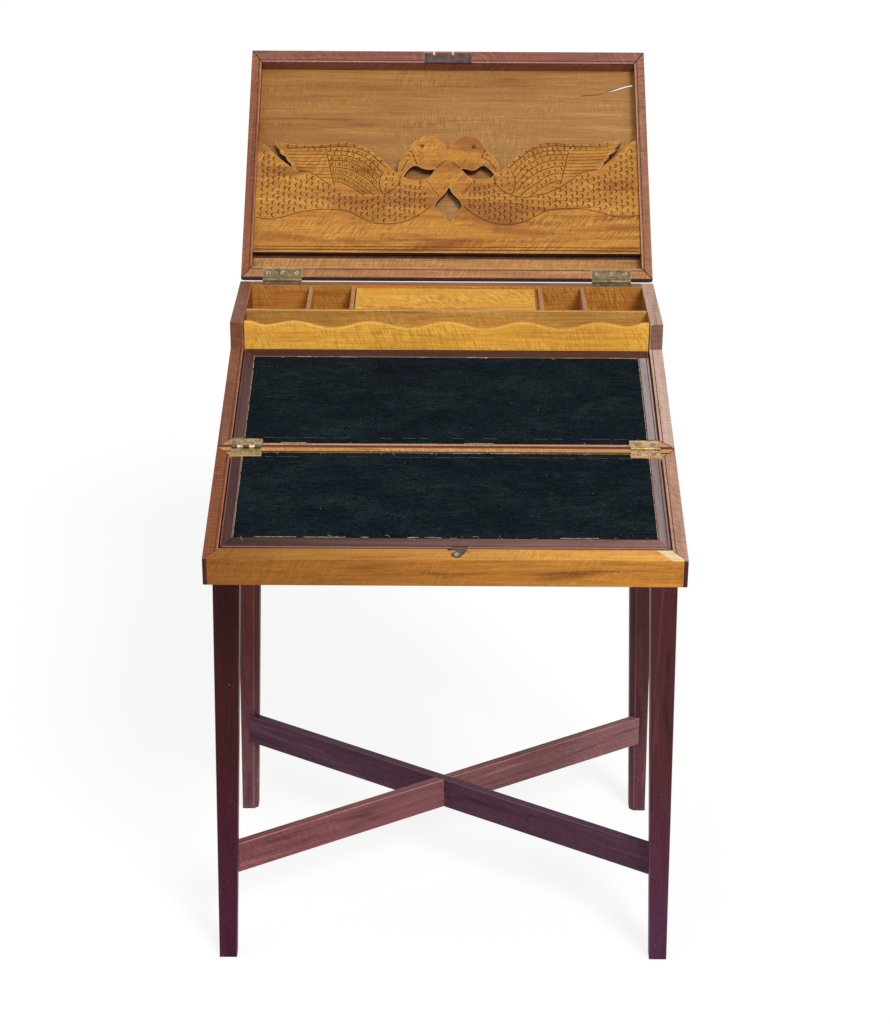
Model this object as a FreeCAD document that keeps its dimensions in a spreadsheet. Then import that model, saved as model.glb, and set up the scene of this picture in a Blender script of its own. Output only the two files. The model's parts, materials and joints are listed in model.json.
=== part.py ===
import FreeCAD, Part
import math
import os

import Sketcher

doc = FreeCAD.newDocument("LapDesk")

# Driving dimensions in millimetres and degrees.
# The box is drawn open: y runs back from the front face of the opened front section, z up from the floor.
TABLE = [
    ("box_width", 500.0, "outside width of the box and the lid"),
    ("leaf_run", 189.0, "level depth of one sloping half"),
    ("tray_run", 150.0, "level depth of the tray part behind the slope"),
    ("front_tall", 30.0, "height of the front face"),
    ("fold_tall", 76.0, "height of the slope at the fold line"),
    ("stand_tall", 584.0, "height of the stand"),
    ("frame_back", 405.17, "distance from the front face to the middle of the whole object"),
    ("wall", 15.0, "thickness of the box walls"),
    ("base_thick", 8.0, "thickness of both bottom boards"),
    ("fold_gap", 0.25, "half the gap between the two sections at the fold"),
    ("fold_lift", 0.6, "height of the fold hinge axis above the slope"),
    ("step_gap", 0.8, "room between the folded front and the tray"),
    ("rail_wide", 18.2, "width of the front rail along the slope"),
    ("crease", 16.5, "distance of each cloth crease from the fold line"),
    ("flap_thick", 7.0, "thickness of a flap"),
    ("flap_side_gap", 2.0, "gap between a flap and the side walls"),
    ("flap_end", 192.8, "far edge of the upper flap from the fold line"),
    ("lower_end", 174.3, "far edge of the lower flap from the fold line"),
    ("border_wide", 11.5, "width of the side borders of a flap"),
    ("border_end_wide", 15.5, "width of the end border of a flap"),
    ("baize_thick", 1.2, "thickness of the baize"),
    ("strip_rear", 7.5, "near edge of the rear cloth strip"),
    ("strip_front", 9.0, "near edge of the front cloth strip"),
    ("strip_half", 201.0, "half length of the cloth strips"),
    ("ledger_wide", 6.0, "width of a flap ledger"),
    ("ledger_tall", 6.0, "height of a flap ledger"),
    ("ledger_gap", 0.2, "room between a flap and its ledgers"),
    ("tray_front_thick", 7.0, "thickness of the scalloped board"),
    ("scallop", 8.0, "depth of the scallops"),
    ("tray_deep", 51.0, "depth of the tray compartments"),
    ("tray_floor_thick", 6.0, "thickness of the tray floor"),
    ("trough_run", 41.0, "front to back width of the pen trough"),
    ("trough_deep", 28.0, "depth of the pen trough"),
    ("trough_floor_thick", 4.0, "thickness of the trough floor"),
    ("partition", 5.0, "thickness of the tray partitions"),
    ("partition_low", 1.5, "drop of the partitions below the rim of the box"),
    ("divider_in", 112.0, "inner dividers from the middle"),
    ("divider_out", 163.0, "outer dividers from the middle"),
    ("cover_thick", 4.0, "thickness of the pen-bay cover"),
    ("cover_low", 1.2, "drop of the cover below the partitions"),
    ("cover_gap", 1.0, "room around the cover"),
    ("cover_end_gap", 4.5, "finger gap at the right end of the cover"),
    ("ledge_wide", 5.0, "width of the cover ledges"),
    ("lid_open", 140.0, "opening angle of the lid"),
    ("lid_axis_out", 4.0, "lid hinge axis behind the back of the box"),
    ("lid_axis_up", 0.25, "lid hinge axis above the rim of the box"),
    ("rim_tall", 17.5, "height of the lid rims"),
    ("rim_wide", 12.5, "width of the side rims"),
    ("rim_front_wide", 17.5, "width of the front rim"),
    ("rim_rear_wide", 15.0, "width of the rear rim"),
    ("lid_thick", 6.5, "thickness of the lid panel"),
    ("bevel_up", 6.75, "start of the bevel on the rear edge of the lid, above the rim face"),
    ("bevel_run", 11.9, "run of that bevel at 1 mm above the lid"),
    ("rack_near", 43.5, "foot of the letter rack from the lid hinge axis"),
    ("rack_rise", 175.0, "height of the letter rack"),
    ("rack_thick", 5.5, "thickness of the letter rack"),
    ("rack_sunk", 5.0, "letter rack below the edge of the lid"),
    ("spacer_wide", 8.0, "width of the rack spacers"),
    ("spacer_back", 7.0, "overlap of the foot strip behind the rack"),
    ("foot_thick", 2.0, "thickness of the foot strip"),
    ("foot_half", 268.75, "outer half width of the stand at the floor"),
    ("top_half", 259.5, "outer half width of the stand at the top"),
    ("foot_front", 178.5, "front of the front feet"),
    ("top_front", 190.0, "front of the front legs at the top"),
    ("foot_back", 541.0, "back of the rear feet"),
    ("top_back", 529.5, "back of the rear legs at the top"),
    ("foot_size", 21.0, "width of a foot"),
    ("top_size", 32.0, "width of a leg at the top"),
    ("foot_chamfer", 6.0, "inner chamfer at the foot"),
    ("top_chamfer", 9.0, "inner chamfer at the top"),
    ("apron_tall", 60.0, "height of the stand rails"),
    ("apron_thick", 16.0, "thickness of the stand rails"),
    ("apron_set", 4.0, "set-back of the rails from the leg faces"),
    ("tenon_tall", 40.0, "height of the tenons"),
    ("tenon_thick", 8.0, "thickness of the tenons"),
    ("tenon_deep", 13.0, "length of the tenons"),
    ("bar_low", 106.0, "underside of the stretchers"),
    ("bar_tall", 39.0, "height of the stretchers"),
    ("bar_thick", 11.0, "thickness of the stretchers"),
    ("bar_long", 596.0, "length of a stretcher before it is scribed to the legs"),
    ("bar_turn", 32.0, "angle of the stretchers to the front"),
    ("hinge_near", 202.0, "inner end of a fold hinge from the middle"),
    ("hinge_knuckle", 6.4, "pitch of the fold hinge knuckles"),
    ("hinge_leaf", 14.0, "width of a front fold hinge leaf"),
    ("hinge_leaf_rear", 15.8, "width of a rear fold hinge leaf"),
    ("hinge_plate", 1.3, "thickness of a fold hinge leaf"),
    ("hinge_round", 2.0, "outer radius of the fold hinge barrel"),
    ("hinge_room", 0.35, "clearance around the barrels"),
    ("hinge_pin", 0.85, "radius of the fold hinge pin"),
    ("pin_fit", 0.05, "radial clearance of a pin in a knuckle"),
    ("lidh_near", 176.0, "inner end of a lid hinge from the middle"),
    ("lidh_knuckle", 9.4, "pitch of the lid hinge knuckles"),
    ("lidh_leaf", 12.5, "width of a lid hinge leaf on the wood"),
    ("lidh_plate", 1.5, "thickness of a lid hinge leaf"),
    ("lidh_round", 3.2, "outer radius of the lid hinge barrel"),
    ("lidh_pin", 1.2, "radius of the lid hinge pin"),
    ("screw_round", 1.1, "shank radius of the hinge screws"),
    ("screw_head", 2.9, "head radius of the hinge screws"),
    ("screw_long", 7.0, "length of the hinge screws"),
    ("screw_slot", 0.6, "slot width of the hinge screws"),
    ("bolt_round", 2.5, "shank radius of the stand screws"),
    ("bolt_head", 5.0, "head radius of the stand screws"),
    ("bolt_long", 46.0, "length of the stand screws"),
    ("bolt_x", 150.0, "stand screws from the middle"),
    ("lock_half", 30.0, "half length of the lock"),
    ("lock_near", 176.0, "front of the lock case"),
    ("lock_thick", 10.0, "thickness of the lock case"),
    ("lock_tall", 32.0, "height of the lock case"),
    ("plate_wide", 15.2, "width of the lid plate"),
    ("lock_plate", 2.0, "thickness of the selvedge and of the lid plate"),
    ("eye_one", -17.6, "first lock eye from the middle"),
    ("eye_two", 6.4, "second lock eye from the middle"),
    ("eye_thick", 2.5, "thickness of a lock eye"),
    ("eye_wide", 5.5, "width of a lock eye"),
    ("eye_deep", 5.8, "reach of a lock eye"),
    ("eye_bore", 1.2, "radius of the hole in a lock eye"),
    ("eye_hole", 3.6, "depth of the hole below the closed face"),
    ("prong", 0.9, "radius of the bolt prongs"),
    ("prong_long", 6.0, "length of the bolt prongs"),
    ("prong_room", 1.2, "distance of a drawn prong from its eye"),
    ("catch_x", 11.5, "flap catch pivot from the middle"),
    ("catch_y", -185.0, "flap catch pivot from the fold line"),
    ("catch_boss", 5.0, "radius of the flap catch boss"),
    ("catch_reach", 12.5, "reach of the flap catch"),
    ("catch_thick", 1.4, "thickness of the flap catch"),
    ("catch_sunk", 1.6, "depth of the recess of the flap catch"),
    ("key_wide", 6.0, "half width of the escutcheon"),
    ("key_low", 12.0, "lower edge of the escutcheon above the base"),
    ("key_tall", 18.0, "height of the escutcheon"),
    ("key_thick", 0.9, "thickness of the escutcheon"),
    ("key_round", 2.2, "radius of the keyhole"),
]

sheet = doc.addObject("Spreadsheet::Sheet", "dims")


class Dim:
    """A size that keeps its number and the expression that it comes from."""

    def __init__(self, value, text):
        self.value = value
        self.text = text

    def __add__(self, other):
        other = dim(other)
        return Dim(self.value + other.value, "(" + self.text + " + " + other.text + ")")

    def __radd__(self, other):
        return dim(other) + self

    def __sub__(self, other):
        other = dim(other)
        return Dim(self.value - other.value, "(" + self.text + " - " + other.text + ")")

    def __rsub__(self, other):
        return dim(other) - self

    def __mul__(self, other):
        other = dim(other)
        return Dim(self.value * other.value, "(" + self.text + " * " + other.text + ")")

    def __rmul__(self, other):
        return dim(other) * self

    def __truediv__(self, other):
        other = dim(other)
        return Dim(self.value / other.value, "(" + self.text + " / " + other.text + ")")

    def __neg__(self):
        return Dim(-self.value, "(0 - " + self.text + ")")


def dim(thing):
    if isinstance(thing, Dim):
        return thing
    number = float(thing)
    text = repr(round(number, 6))
    if number < 0:
        text = "(0 - " + repr(round(-number, 6)) + ")"
    return Dim(number, text)


def sine(angle):
    return Dim(math.sin(math.radians(angle.value)), "sin(" + angle.text + ")")


def cosine(angle):
    return Dim(math.cos(math.radians(angle.value)), "cos(" + angle.text + ")")


def arc_tangent(ratio):
    return Dim(math.degrees(math.atan(ratio.value)), "atan(" + ratio.text + ")")


class Sizes:
    pass


S = Sizes()
for row, (alias, number, note) in enumerate(TABLE, start=1):
    sheet.set("A" + str(row), note)
    sheet.set("B" + str(row), repr(number))
    sheet.setAlias("B" + str(row), alias)
    setattr(S, alias, Dim(number, "dims." + alias))
doc.recompute()

# Sizes that follow from the driving ones.
half = S.box_width / 2
inner = half - S.wall
slope = arc_tangent((S.fold_tall - S.front_tall) / S.leaf_run)
rise = (S.fold_tall - S.front_tall) / S.leaf_run
box_tall = 2 * (S.fold_tall + S.fold_lift * cosine(slope))
box_back = 2 * S.leaf_run + S.tray_run
base = S.stand_tall
rim = base + box_tall
step = 2 * S.leaf_run + S.step_gap
rear_front = S.leaf_run + S.fold_gap
front_back = S.leaf_run - S.fold_gap
tray_back = box_back - S.wall
slope_long = S.leaf_run / cosine(slope)

FRAMES = {
    "floor": ((dim(0), -S.frame_back, dim(0)), FreeCAD.Vector(1, 0, 0), None),
    "slope": (
        (dim(0), S.leaf_run - S.frame_back, base + S.fold_tall),
        FreeCAD.Vector(1, 0, 0),
        slope,
    ),
    "lid": (
        (dim(0), box_back + S.lid_axis_out - S.frame_back, rim + S.lid_axis_up),
        FreeCAD.Vector(-1, 0, 0),
        S.lid_open,
    ),
}
NODES = []
count = [0]


def fresh(word):
    count[0] += 1
    return word + str(count[0])


def bind(thing, name, size):
    thing.setExpression(name, dim(size).text)


def put(thing, where):
    """Set an object in one of the three working frames."""
    spot, axis, turn = FRAMES[where]
    angle = turn.value if turn else 0.0
    place = FreeCAD.Vector(spot[0].value, spot[1].value, spot[2].value)
    thing.Placement = FreeCAD.Placement(place, FreeCAD.Rotation(axis, angle))
    bind(thing, "Placement.Base.x", spot[0])
    bind(thing, "Placement.Base.y", spot[1])
    bind(thing, "Placement.Base.z", spot[2])
    if turn:
        bind(thing, "Placement.Rotation.Angle", turn)


def node(thing, label):
    thing.Label = label
    NODES.append(thing)
    return thing


class Piece:
    """One wooden piece: a body with sketches, pads and pockets in a working frame."""

    def __init__(self, label, where="floor", export=True):
        self.body = doc.addObject("PartDesign::Body", fresh("Body"))
        put(self.body, where)
        if export:
            node(self.body, label)
        else:
            self.body.Label = label

    def plane(self, role):
        for feature in self.body.Origin.OriginFeatures:
            if feature.Role == role:
                return feature
        raise ValueError(role)

    def outline(self, role, points, start):
        sketch = self.body.newObject("Sketcher::SketchObject", fresh("Sketch"))
        sketch.AttachmentSupport = [(self.plane(role), "")]
        sketch.MapMode = "FlatFace"
        bind(sketch, "AttachmentOffset.Base.z", start)
        corners = []
        for across, up in points:
            corners.append((dim(across), dim(up)))
        total = len(corners)
        for index in range(total):
            here = corners[index]
            there = corners[(index + 1) % total]
            begin = FreeCAD.Vector(here[0].value, here[1].value, 0)
            end = FreeCAD.Vector(there[0].value, there[1].value, 0)
            sketch.addGeometry(Part.LineSegment(begin, end), False)
        rules = []
        for index in range(total):
            rules.append(Sketcher.Constraint("Coincident", index, 2, (index + 1) % total, 1))
        for index in range(total):
            across, up = corners[index]
            rules.append(Sketcher.Constraint("DistanceX", -1, 1, index, 1, across.value))
            rules.append(Sketcher.Constraint("DistanceY", -1, 1, index, 1, up.value))
        sketch.addConstraint(rules)
        for index in range(total):
            across, up = corners[index]
            sketch.renameConstraint(total + 2 * index, "across" + str(index))
            sketch.renameConstraint(total + 2 * index + 1, "up" + str(index))
            bind(sketch, "Constraints.across" + str(index), across)
            bind(sketch, "Constraints.up" + str(index), up)
        return sketch

    def span(self, role, near, far):
        """Sketch offset and length that cover near to far along an axis."""
        near = dim(near)
        far = dim(far)
        if role == "XZ_Plane":
            return -far, far - near
        return near, far - near

    def prism(self, role, points, near, far):
        start, length = self.span(role, near, far)
        pad = self.body.newObject("PartDesign::Pad", fresh("Pad"))
        pad.Profile = self.outline(role, points, start)
        bind(pad, "Length", length)
        return self

    def hollow(self, role, points, near, far):
        start, length = self.span(role, near, far)
        pocket = self.body.newObject("PartDesign::Pocket", fresh("Pocket"))
        pocket.Profile = self.outline(role, points, start)
        pocket.Type = "Length"
        pocket.Reversed = True
        bind(pocket, "Length", length)
        return self

    def block(self, x0, x1, y0, y1, z0, z1, kind="PartDesign::AdditiveBox"):
        box = self.body.newObject(kind, fresh("Block"))
        box.AttachmentSupport = [(self.plane("XY_Plane"), "")]
        box.MapMode = "FlatFace"
        bind(box, "AttachmentOffset.Base.x", x0)
        bind(box, "AttachmentOffset.Base.y", y0)
        bind(box, "AttachmentOffset.Base.z", z0)
        bind(box, "Length", dim(x1) - x0)
        bind(box, "Width", dim(y1) - y0)
        bind(box, "Height", dim(z1) - z0)
        return self

    def slot(self, x0, x1, y0, y1, z0, z1):
        return self.block(x0, x1, y0, y1, z0, z1, "PartDesign::SubtractiveBox")


def cuboid(x0, x1, y0, y1, z0, z1):
    box = doc.addObject("Part::Box", fresh("Box"))
    bind(box, "Length", dim(x1) - x0)
    bind(box, "Width", dim(y1) - y0)
    bind(box, "Height", dim(z1) - z0)
    bind(box, "Placement.Base.x", x0)
    bind(box, "Placement.Base.y", y0)
    bind(box, "Placement.Base.z", z0)
    return box


TURNS = {
    "x": FreeCAD.Rotation(FreeCAD.Vector(0, 1, 0), 90),
    "y": FreeCAD.Rotation(FreeCAD.Vector(1, 0, 0), -90),
    "z": FreeCAD.Rotation(),
}


def rod(axis, x, y, z, radius, length):
    bar = doc.addObject("Part::Cylinder", fresh("Rod"))
    bar.Placement = FreeCAD.Placement(FreeCAD.Vector(), TURNS[axis])
    bind(bar, "Placement.Base.x", x)
    bind(bar, "Placement.Base.y", y)
    bind(bar, "Placement.Base.z", z)
    bind(bar, "Radius", radius)
    bind(bar, "Height", length)
    return bar


def taper(x, y, z, below, above, length):
    bar = doc.addObject("Part::Cone", fresh("Taper"))
    bind(bar, "Placement.Base.x", x)
    bind(bar, "Placement.Base.y", y)
    bind(bar, "Placement.Base.z", z)
    bind(bar, "Radius1", below)
    bind(bar, "Radius2", above)
    bind(bar, "Height", length)
    return bar


def join(shapes):
    if len(shapes) == 1:
        return shapes[0]
    whole = doc.addObject("Part::MultiFuse", fresh("Join"))
    whole.Shapes = shapes
    return whole


def less(shape, tools):
    rest = doc.addObject("Part::Cut", fresh("Less"))
    rest.Base = shape
    rest.Tool = join(tools)
    return rest


def both(one, two):
    shared = doc.addObject("Part::Common", fresh("Both"))
    shared.Base = one
    shared.Tool = two
    return shared


def twin(shape):
    """The same piece on the other side of the middle."""
    other = doc.addObject("Part::Mirroring", fresh("Twin"))
    other.Source = shape
    other.Normal = FreeCAD.Vector(1, 0, 0)
    return other


def group(label, shapes, where):
    bundle = doc.addObject("Part::Compound", fresh("Group"))
    bundle.Links = shapes
    put(bundle, where)
    if label:
        node(bundle, label)
    return bundle


def in_frame(shape, where):
    bundle = group(None, [shape], where)
    bundle.Label = fresh("tool ")
    return bundle


# Stand: legs
def leg(label, side, end):
    """side is -1 left or 1 right, end is -1 front or 1 rear."""
    piece = Piece(label)
    levels = []
    for outer, face, size, corner, level in (
        (S.foot_half, S.foot_front if end < 0 else S.foot_back, S.foot_size, S.foot_chamfer, dim(0)),
        (S.top_half, S.top_front if end < 0 else S.top_back, S.top_size, S.top_chamfer, base),
    ):
        xo = side * outer
        xi = side * (outer - size)
        yi = face - end * size
        points = [(xo, face), (xi, face), (xi, yi + end * corner), (xi + side * corner, yi), (xo, yi)]
        levels.append(piece.outline("XY_Plane", points, level))
    loft = piece.body.newObject("PartDesign::AdditiveLoft", fresh("Loft"))
    loft.Profile = levels[0]
    loft.Sections = [levels[1]]
    loft.Ruled = True
    low = base - S.apron_tall / 2 - S.tenon_tall / 2
    high = low + S.tenon_tall
    reach = S.top_half - S.top_size + S.tenon_deep
    front_y = S.top_front + S.apron_set + (S.apron_thick - S.tenon_thick) / 2
    back_y = S.top_back - S.apron_set - (S.apron_thick + S.tenon_thick) / 2
    tenon_y = front_y if end < 0 else back_y
    near_x = dim(200) if side > 0 else -reach
    far_x = reach if side > 0 else dim(-200)
    piece.slot(near_x, far_x, tenon_y, tenon_y + S.tenon_thick, low, high)
    side_x = S.top_half - S.apron_set - (S.apron_thick + S.tenon_thick) / 2
    left_x = side_x if side > 0 else -side_x - S.tenon_thick
    inner_y = S.top_front + S.top_size - S.tenon_deep if end < 0 else S.top_back - S.top_size - 20
    outer_y = S.top_front + S.top_size + 20 if end < 0 else S.top_back - S.top_size + S.tenon_deep
    piece.slot(left_x, left_x + S.tenon_thick, inner_y, outer_y, low, high)
    return piece.body


legs = [
    leg("leg_front_left", -1, -1),
    leg("leg_front_right", 1, -1),
    leg("leg_rear_left", -1, 1),
    leg("leg_rear_right", 1, 1),
]

# Stand: rails with their shoulders cut to the lean of the legs
drop = S.apron_tall / base
lean_x = (S.foot_half - S.foot_size) - (S.top_half - S.top_size)
lean_front = (S.foot_front + S.foot_size) - (S.top_front + S.top_size)
lean_back = (S.foot_back - S.foot_size) - (S.top_back - S.top_size)
tenon_low = base - S.apron_tall / 2 - S.tenon_tall / 2
tenon_high = tenon_low + S.tenon_tall
shoulder = S.top_half - S.top_size
tenon_end = shoulder + S.tenon_deep
screw_spots = []


def cross_rail(label, near):
    blank = Piece(label + " blank", export=False)
    far = near + S.apron_thick
    wide = shoulder + lean_x * drop
    points = [(-shoulder, base), (-wide, base - S.apron_tall), (wide, base - S.apron_tall), (shoulder, base)]
    blank.prism("XZ_Plane", points, near, far)
    lip = near + (S.apron_thick - S.tenon_thick) / 2
    blank.block(-tenon_end, tenon_end, lip, lip + S.tenon_thick, tenon_low, tenon_high)
    middle = near + S.apron_thick / 2
    for x in (-S.bolt_x, S.bolt_x):
        screw_spots.append((x, middle))
    return blank


front_rail_near = S.top_front + S.apron_set
rear_rail_near = S.top_back - S.apron_set - S.apron_thick
rail_front_blank = cross_rail("stand_rail_front", front_rail_near)
rail_rear_blank = cross_rail("stand_rail_rear", rear_rail_near)


def long_rail(label, side):
    piece = Piece(label)
    outer = S.top_half - S.apron_set
    near_x = outer - S.apron_thick if side > 0 else -outer
    front = S.top_front + S.top_size
    back = S.top_back - S.top_size
    low = base - S.apron_tall
    points = [(front, base), (front + lean_front * drop, low), (back + lean_back * drop, low), (back, base)]
    piece.prism("YZ_Plane", points, near_x, near_x + S.apron_thick)
    lip = near_x + (S.apron_thick - S.tenon_thick) / 2
    piece.block(lip, lip + S.tenon_thick, front - S.tenon_deep, back + S.tenon_deep, tenon_low, tenon_high)
    return piece


long_rail("stand_rail_left", -1)
long_rail("stand_rail_right", 1)

# Stand screws: sunk in the undersides of the front and rear rails, driven up into the base of the box
bolts = []
bolt_holes = []
bolt_head_z = base + S.base_thick - 2 - S.bolt_long
for spot_x, spot_y in screw_spots:
    shank = rod("z", spot_x, spot_y, bolt_head_z, S.bolt_round, S.bolt_long)
    head = rod("z", spot_x, spot_y, bolt_head_z - 3, S.bolt_head, 3)
    cut = cuboid(spot_x - 6, spot_x + 6, spot_y - 0.6, spot_y + 0.6, bolt_head_z - 4, bolt_head_z - 1.6)
    bolts.append(less(join([shank, head]), [cut]))
    clear = rod("z", spot_x, spot_y, base - S.apron_tall - 1, S.bolt_head, bolt_head_z - base + S.apron_tall + 1)
    bolt_holes.append(join([clear, rod("z", spot_x, spot_y, bolt_head_z, S.bolt_round, S.bolt_long)]))
stand_screws = group("stand_screws", bolts, "floor")
bolt_tool = group(None, bolt_holes, "floor")
bolt_tool.Label = "stand screw holes"
node(less(rail_front_blank.body, [bolt_tool]), "stand_rail_front")
node(less(rail_rear_blank.body, [bolt_tool]), "stand_rail_rear")


# Stand stretchers: halved together in the middle, ends scribed to the legs
def bar(label, turn):
    piece = Piece(label, export=False)
    middle = (S.foot_front + S.foot_back) / 2 - S.frame_back
    axis = FreeCAD.Vector(0, 0, 1 if turn > 0 else -1)
    piece.body.Placement = FreeCAD.Placement(FreeCAD.Vector(0, 0, 0), FreeCAD.Rotation(axis, S.bar_turn.value))
    bind(piece.body, "Placement.Base.x", 0)
    bind(piece.body, "Placement.Base.y", middle)
    bind(piece.body, "Placement.Base.z", S.bar_low)
    bind(piece.body, "Placement.Rotation.Angle", S.bar_turn)
    long = S.bar_long / 2
    piece.block(-long, long, -S.bar_thick / 2, S.bar_thick / 2, 0, S.bar_tall)
    return piece.body


bar_one = bar("stretcher one blank", 1)
bar_two = bar("stretcher two blank", -1)
middle_z = S.bar_low + S.bar_tall / 2
upper_half = cuboid(-60, 60, -200, 200, middle_z, middle_z + 60)
lower_half = cuboid(-60, 60, -200, 200, middle_z - 60, middle_z)
leg_tool = join(legs)
node(less(bar_one, [leg_tool, both(bar_two, upper_half)]), "stretcher_one")
node(less(bar_two, [leg_tool, both(bar_one, lower_half)]), "stretcher_two")

# Fold hinges, drawn in the slope frame on the right and mirrored
lift = S.fold_lift
hinge_far = S.hinge_near + 5 * S.hinge_knuckle


def knuckles(near, pitch, radius, pin, turns, y, z):
    rings = []
    for turn in turns:
        at = near + turn * pitch + 0.1
        ring = rod("x", at, y, z, radius, pitch - 0.2)
        rings.append(less(ring, [rod("x", at - 1, y, z, pin, pitch + 2)]))
    return rings


def barrel_room(near, pitch, radius, turns, y, z):
    rooms = []
    for turn in turns:
        rooms.append(rod("x", near + turn * pitch - 0.1, y, z, radius, pitch + 0.2))
    return rooms


def screw(x, y, top, down):
    """A countersunk screw; down is -1 when it is driven down the frame's z and 1 when driven up."""
    head_tall = 1.2
    if down < 0:
        head = taper(x, y, top - head_tall, S.screw_round, S.screw_head, head_tall)
        shank = rod("z", x, y, top - S.screw_long, S.screw_round, S.screw_long - head_tall)
        cut = cuboid(x - 3, x + 3, y - S.screw_slot / 2, y + S.screw_slot / 2, top - 0.6, top + 1)
    else:
        head = taper(x, y, top, S.screw_head, S.screw_round, head_tall)
        shank = rod("z", x, y, top + head_tall, S.screw_round, S.screw_long - head_tall)
        cut = cuboid(x - 3, x + 3, y - S.screw_slot / 2, y + S.screw_slot / 2, top - 1, top + 0.6)
    body = join([head, shank])
    return less(body, [cut]), body


rear_screws = []
front_screws = []
rear_holes = []
front_holes = []
for at in (S.hinge_near + 7.5, S.hinge_near + 24.5):
    made, hole = screw(at, dim(8.4), dim(0), -1)
    rear_screws.append(made)
    rear_holes.append(hole)
    made, hole = screw(at, dim(-8.4), dim(0), -1)
    front_screws.append(made)
    front_holes.append(hole)

plate = cuboid(S.hinge_near, hinge_far, 0.3, S.hinge_leaf_rear, -S.hinge_plate, 0)
own = knuckles(S.hinge_near, S.hinge_knuckle, S.hinge_round, S.hinge_pin, (0, 2, 4), dim(0), lift)
others = barrel_room(S.hinge_near, S.hinge_knuckle, S.hinge_round + S.hinge_room, (1, 3), dim(0), lift)
pin_way = rod("x", S.hinge_near - 1, dim(0), lift, S.hinge_pin, 5 * S.hinge_knuckle + 2)
rear_leaf = join([less(plate, others + [pin_way] + rear_holes)] + own)
group("fold_hinge_rear_leaves", [rear_leaf, twin(rear_leaf)], "slope")

plate = cuboid(S.hinge_near, hinge_far, -S.hinge_leaf, -0.3, -S.hinge_plate, 0)
loose = S.hinge_pin + S.pin_fit
own = knuckles(S.hinge_near, S.hinge_knuckle, S.hinge_round, loose, (1, 3), dim(0), lift)
others = barrel_room(S.hinge_near, S.hinge_knuckle, S.hinge_round + S.hinge_room, (0, 2, 4), dim(0), lift)
pin_way = rod("x", S.hinge_near - 1, dim(0), lift, loose, 5 * S.hinge_knuckle + 2)
front_leaf = join([less(plate, others + [pin_way] + front_holes)] + own)
group("fold_hinge_front_leaves", [front_leaf, twin(front_leaf)], "slope")
pin = rod("x", S.hinge_near + 0.2, dim(0), lift, S.hinge_pin, 5 * S.hinge_knuckle - 0.4)
group("fold_hinge_pins", [pin, twin(pin)], "slope")

groove = rod("x", S.hinge_near - 0.2, dim(0), lift, S.hinge_round + S.hinge_room, 5 * S.hinge_knuckle + 0.4)
rear_bed = join([cuboid(S.hinge_near, hinge_far, -2, S.hinge_leaf_rear, -S.hinge_plate, 3), groove] + rear_holes)
front_bed = join([cuboid(S.hinge_near, hinge_far, -S.hinge_leaf, 2, -S.hinge_plate, 3), groove] + front_holes)
rear_bed_tool = group(None, [rear_bed, twin(rear_bed)], "slope")
rear_bed_tool.Label = "rear hinge beds"
front_bed_tool = group(None, [front_bed, twin(front_bed)], "slope")
front_bed_tool.Label = "front hinge beds"

# Lid hinges: the lid half is drawn in the lid frame, the box half about the same axis in the floor frame
axis_y = box_back + S.lid_axis_out
axis_z = rim + S.lid_axis_up
lidh_far = S.lidh_near + 5 * S.lidh_knuckle
room = S.lidh_round + S.hinge_room
lid_screws = []
lid_holes = []
box_screws = []
box_holes = []
for part, set_in in ((0.14, 6.6), (0.5, 6.6), (0.86, 6.6)):
    at = S.lidh_near + 5 * part * S.lidh_knuckle
    made, hole = screw(at, box_back - set_in, rim, -1)
    box_screws.append(made)
    box_holes.append(hole)
    made, hole = screw(at, -(S.lid_axis_out + set_in), S.lid_axis_up, 1)
    lid_screws.append(made)
    lid_holes.append(hole)

plate = cuboid(S.lidh_near, lidh_far, box_back - S.lidh_leaf, axis_y - 1, rim - S.lidh_plate, rim)
own = knuckles(S.lidh_near, S.lidh_knuckle, S.lidh_round, S.lidh_pin, (0, 2, 4), axis_y, axis_z)
others = barrel_room(S.lidh_near, S.lidh_knuckle, room, (1, 3), axis_y, axis_z)
pin_way = rod("x", S.lidh_near - 1, axis_y, axis_z, S.lidh_pin, 5 * S.lidh_knuckle + 2)
box_leaf = join([less(plate, others + [pin_way] + box_holes)] + own)
group("lid_hinge_box_leaves", [box_leaf, twin(box_leaf)], "floor")
pin = rod("x", S.lidh_near + 0.2, axis_y, axis_z, S.lidh_pin, 5 * S.lidh_knuckle - 0.4)
group("lid_hinge_pins", [pin, twin(pin)], "floor")

loose = S.lidh_pin + S.pin_fit
lid_edge = S.lid_axis_out
plate = cuboid(
    S.lidh_near, lidh_far, -(lid_edge + S.lidh_leaf), -1, S.lid_axis_up, S.lid_axis_up + S.lidh_plate
)
own = knuckles(S.lidh_near, S.lidh_knuckle, S.lidh_round, loose, (1, 3), dim(0), dim(0))
others = barrel_room(S.lidh_near, S.lidh_knuckle, room, (0, 2, 4), dim(0), dim(0))
pin_way = rod("x", S.lidh_near - 1, dim(0), dim(0), loose, 5 * S.lidh_knuckle + 2)
lid_leaf = join([less(plate, others + [pin_way] + lid_holes)] + own)
group("lid_hinge_lid_leaves", [lid_leaf, twin(lid_leaf)], "lid")

box_bed = join(
    [cuboid(S.lidh_near, lidh_far, box_back - S.lidh_leaf, box_back + 1, rim - S.lidh_plate, rim + 1)] + box_holes
)
box_bed_tool = group(None, [box_bed, twin(box_bed)], "floor")
box_bed_tool.Label = "lid hinge beds in the back"
lid_bed = join(
    [
        cuboid(
            S.lidh_near,
            lidh_far,
            -(lid_edge + S.lidh_leaf),
            -(lid_edge - 1),
            S.lid_axis_up - 1,
            S.lid_axis_up + S.lidh_plate,
        )
    ]
    + lid_holes
)
lid_bed_tool = group(None, [lid_bed, twin(lid_bed)], "lid")
lid_bed_tool.Label = "lid hinge beds in the rim"

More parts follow.
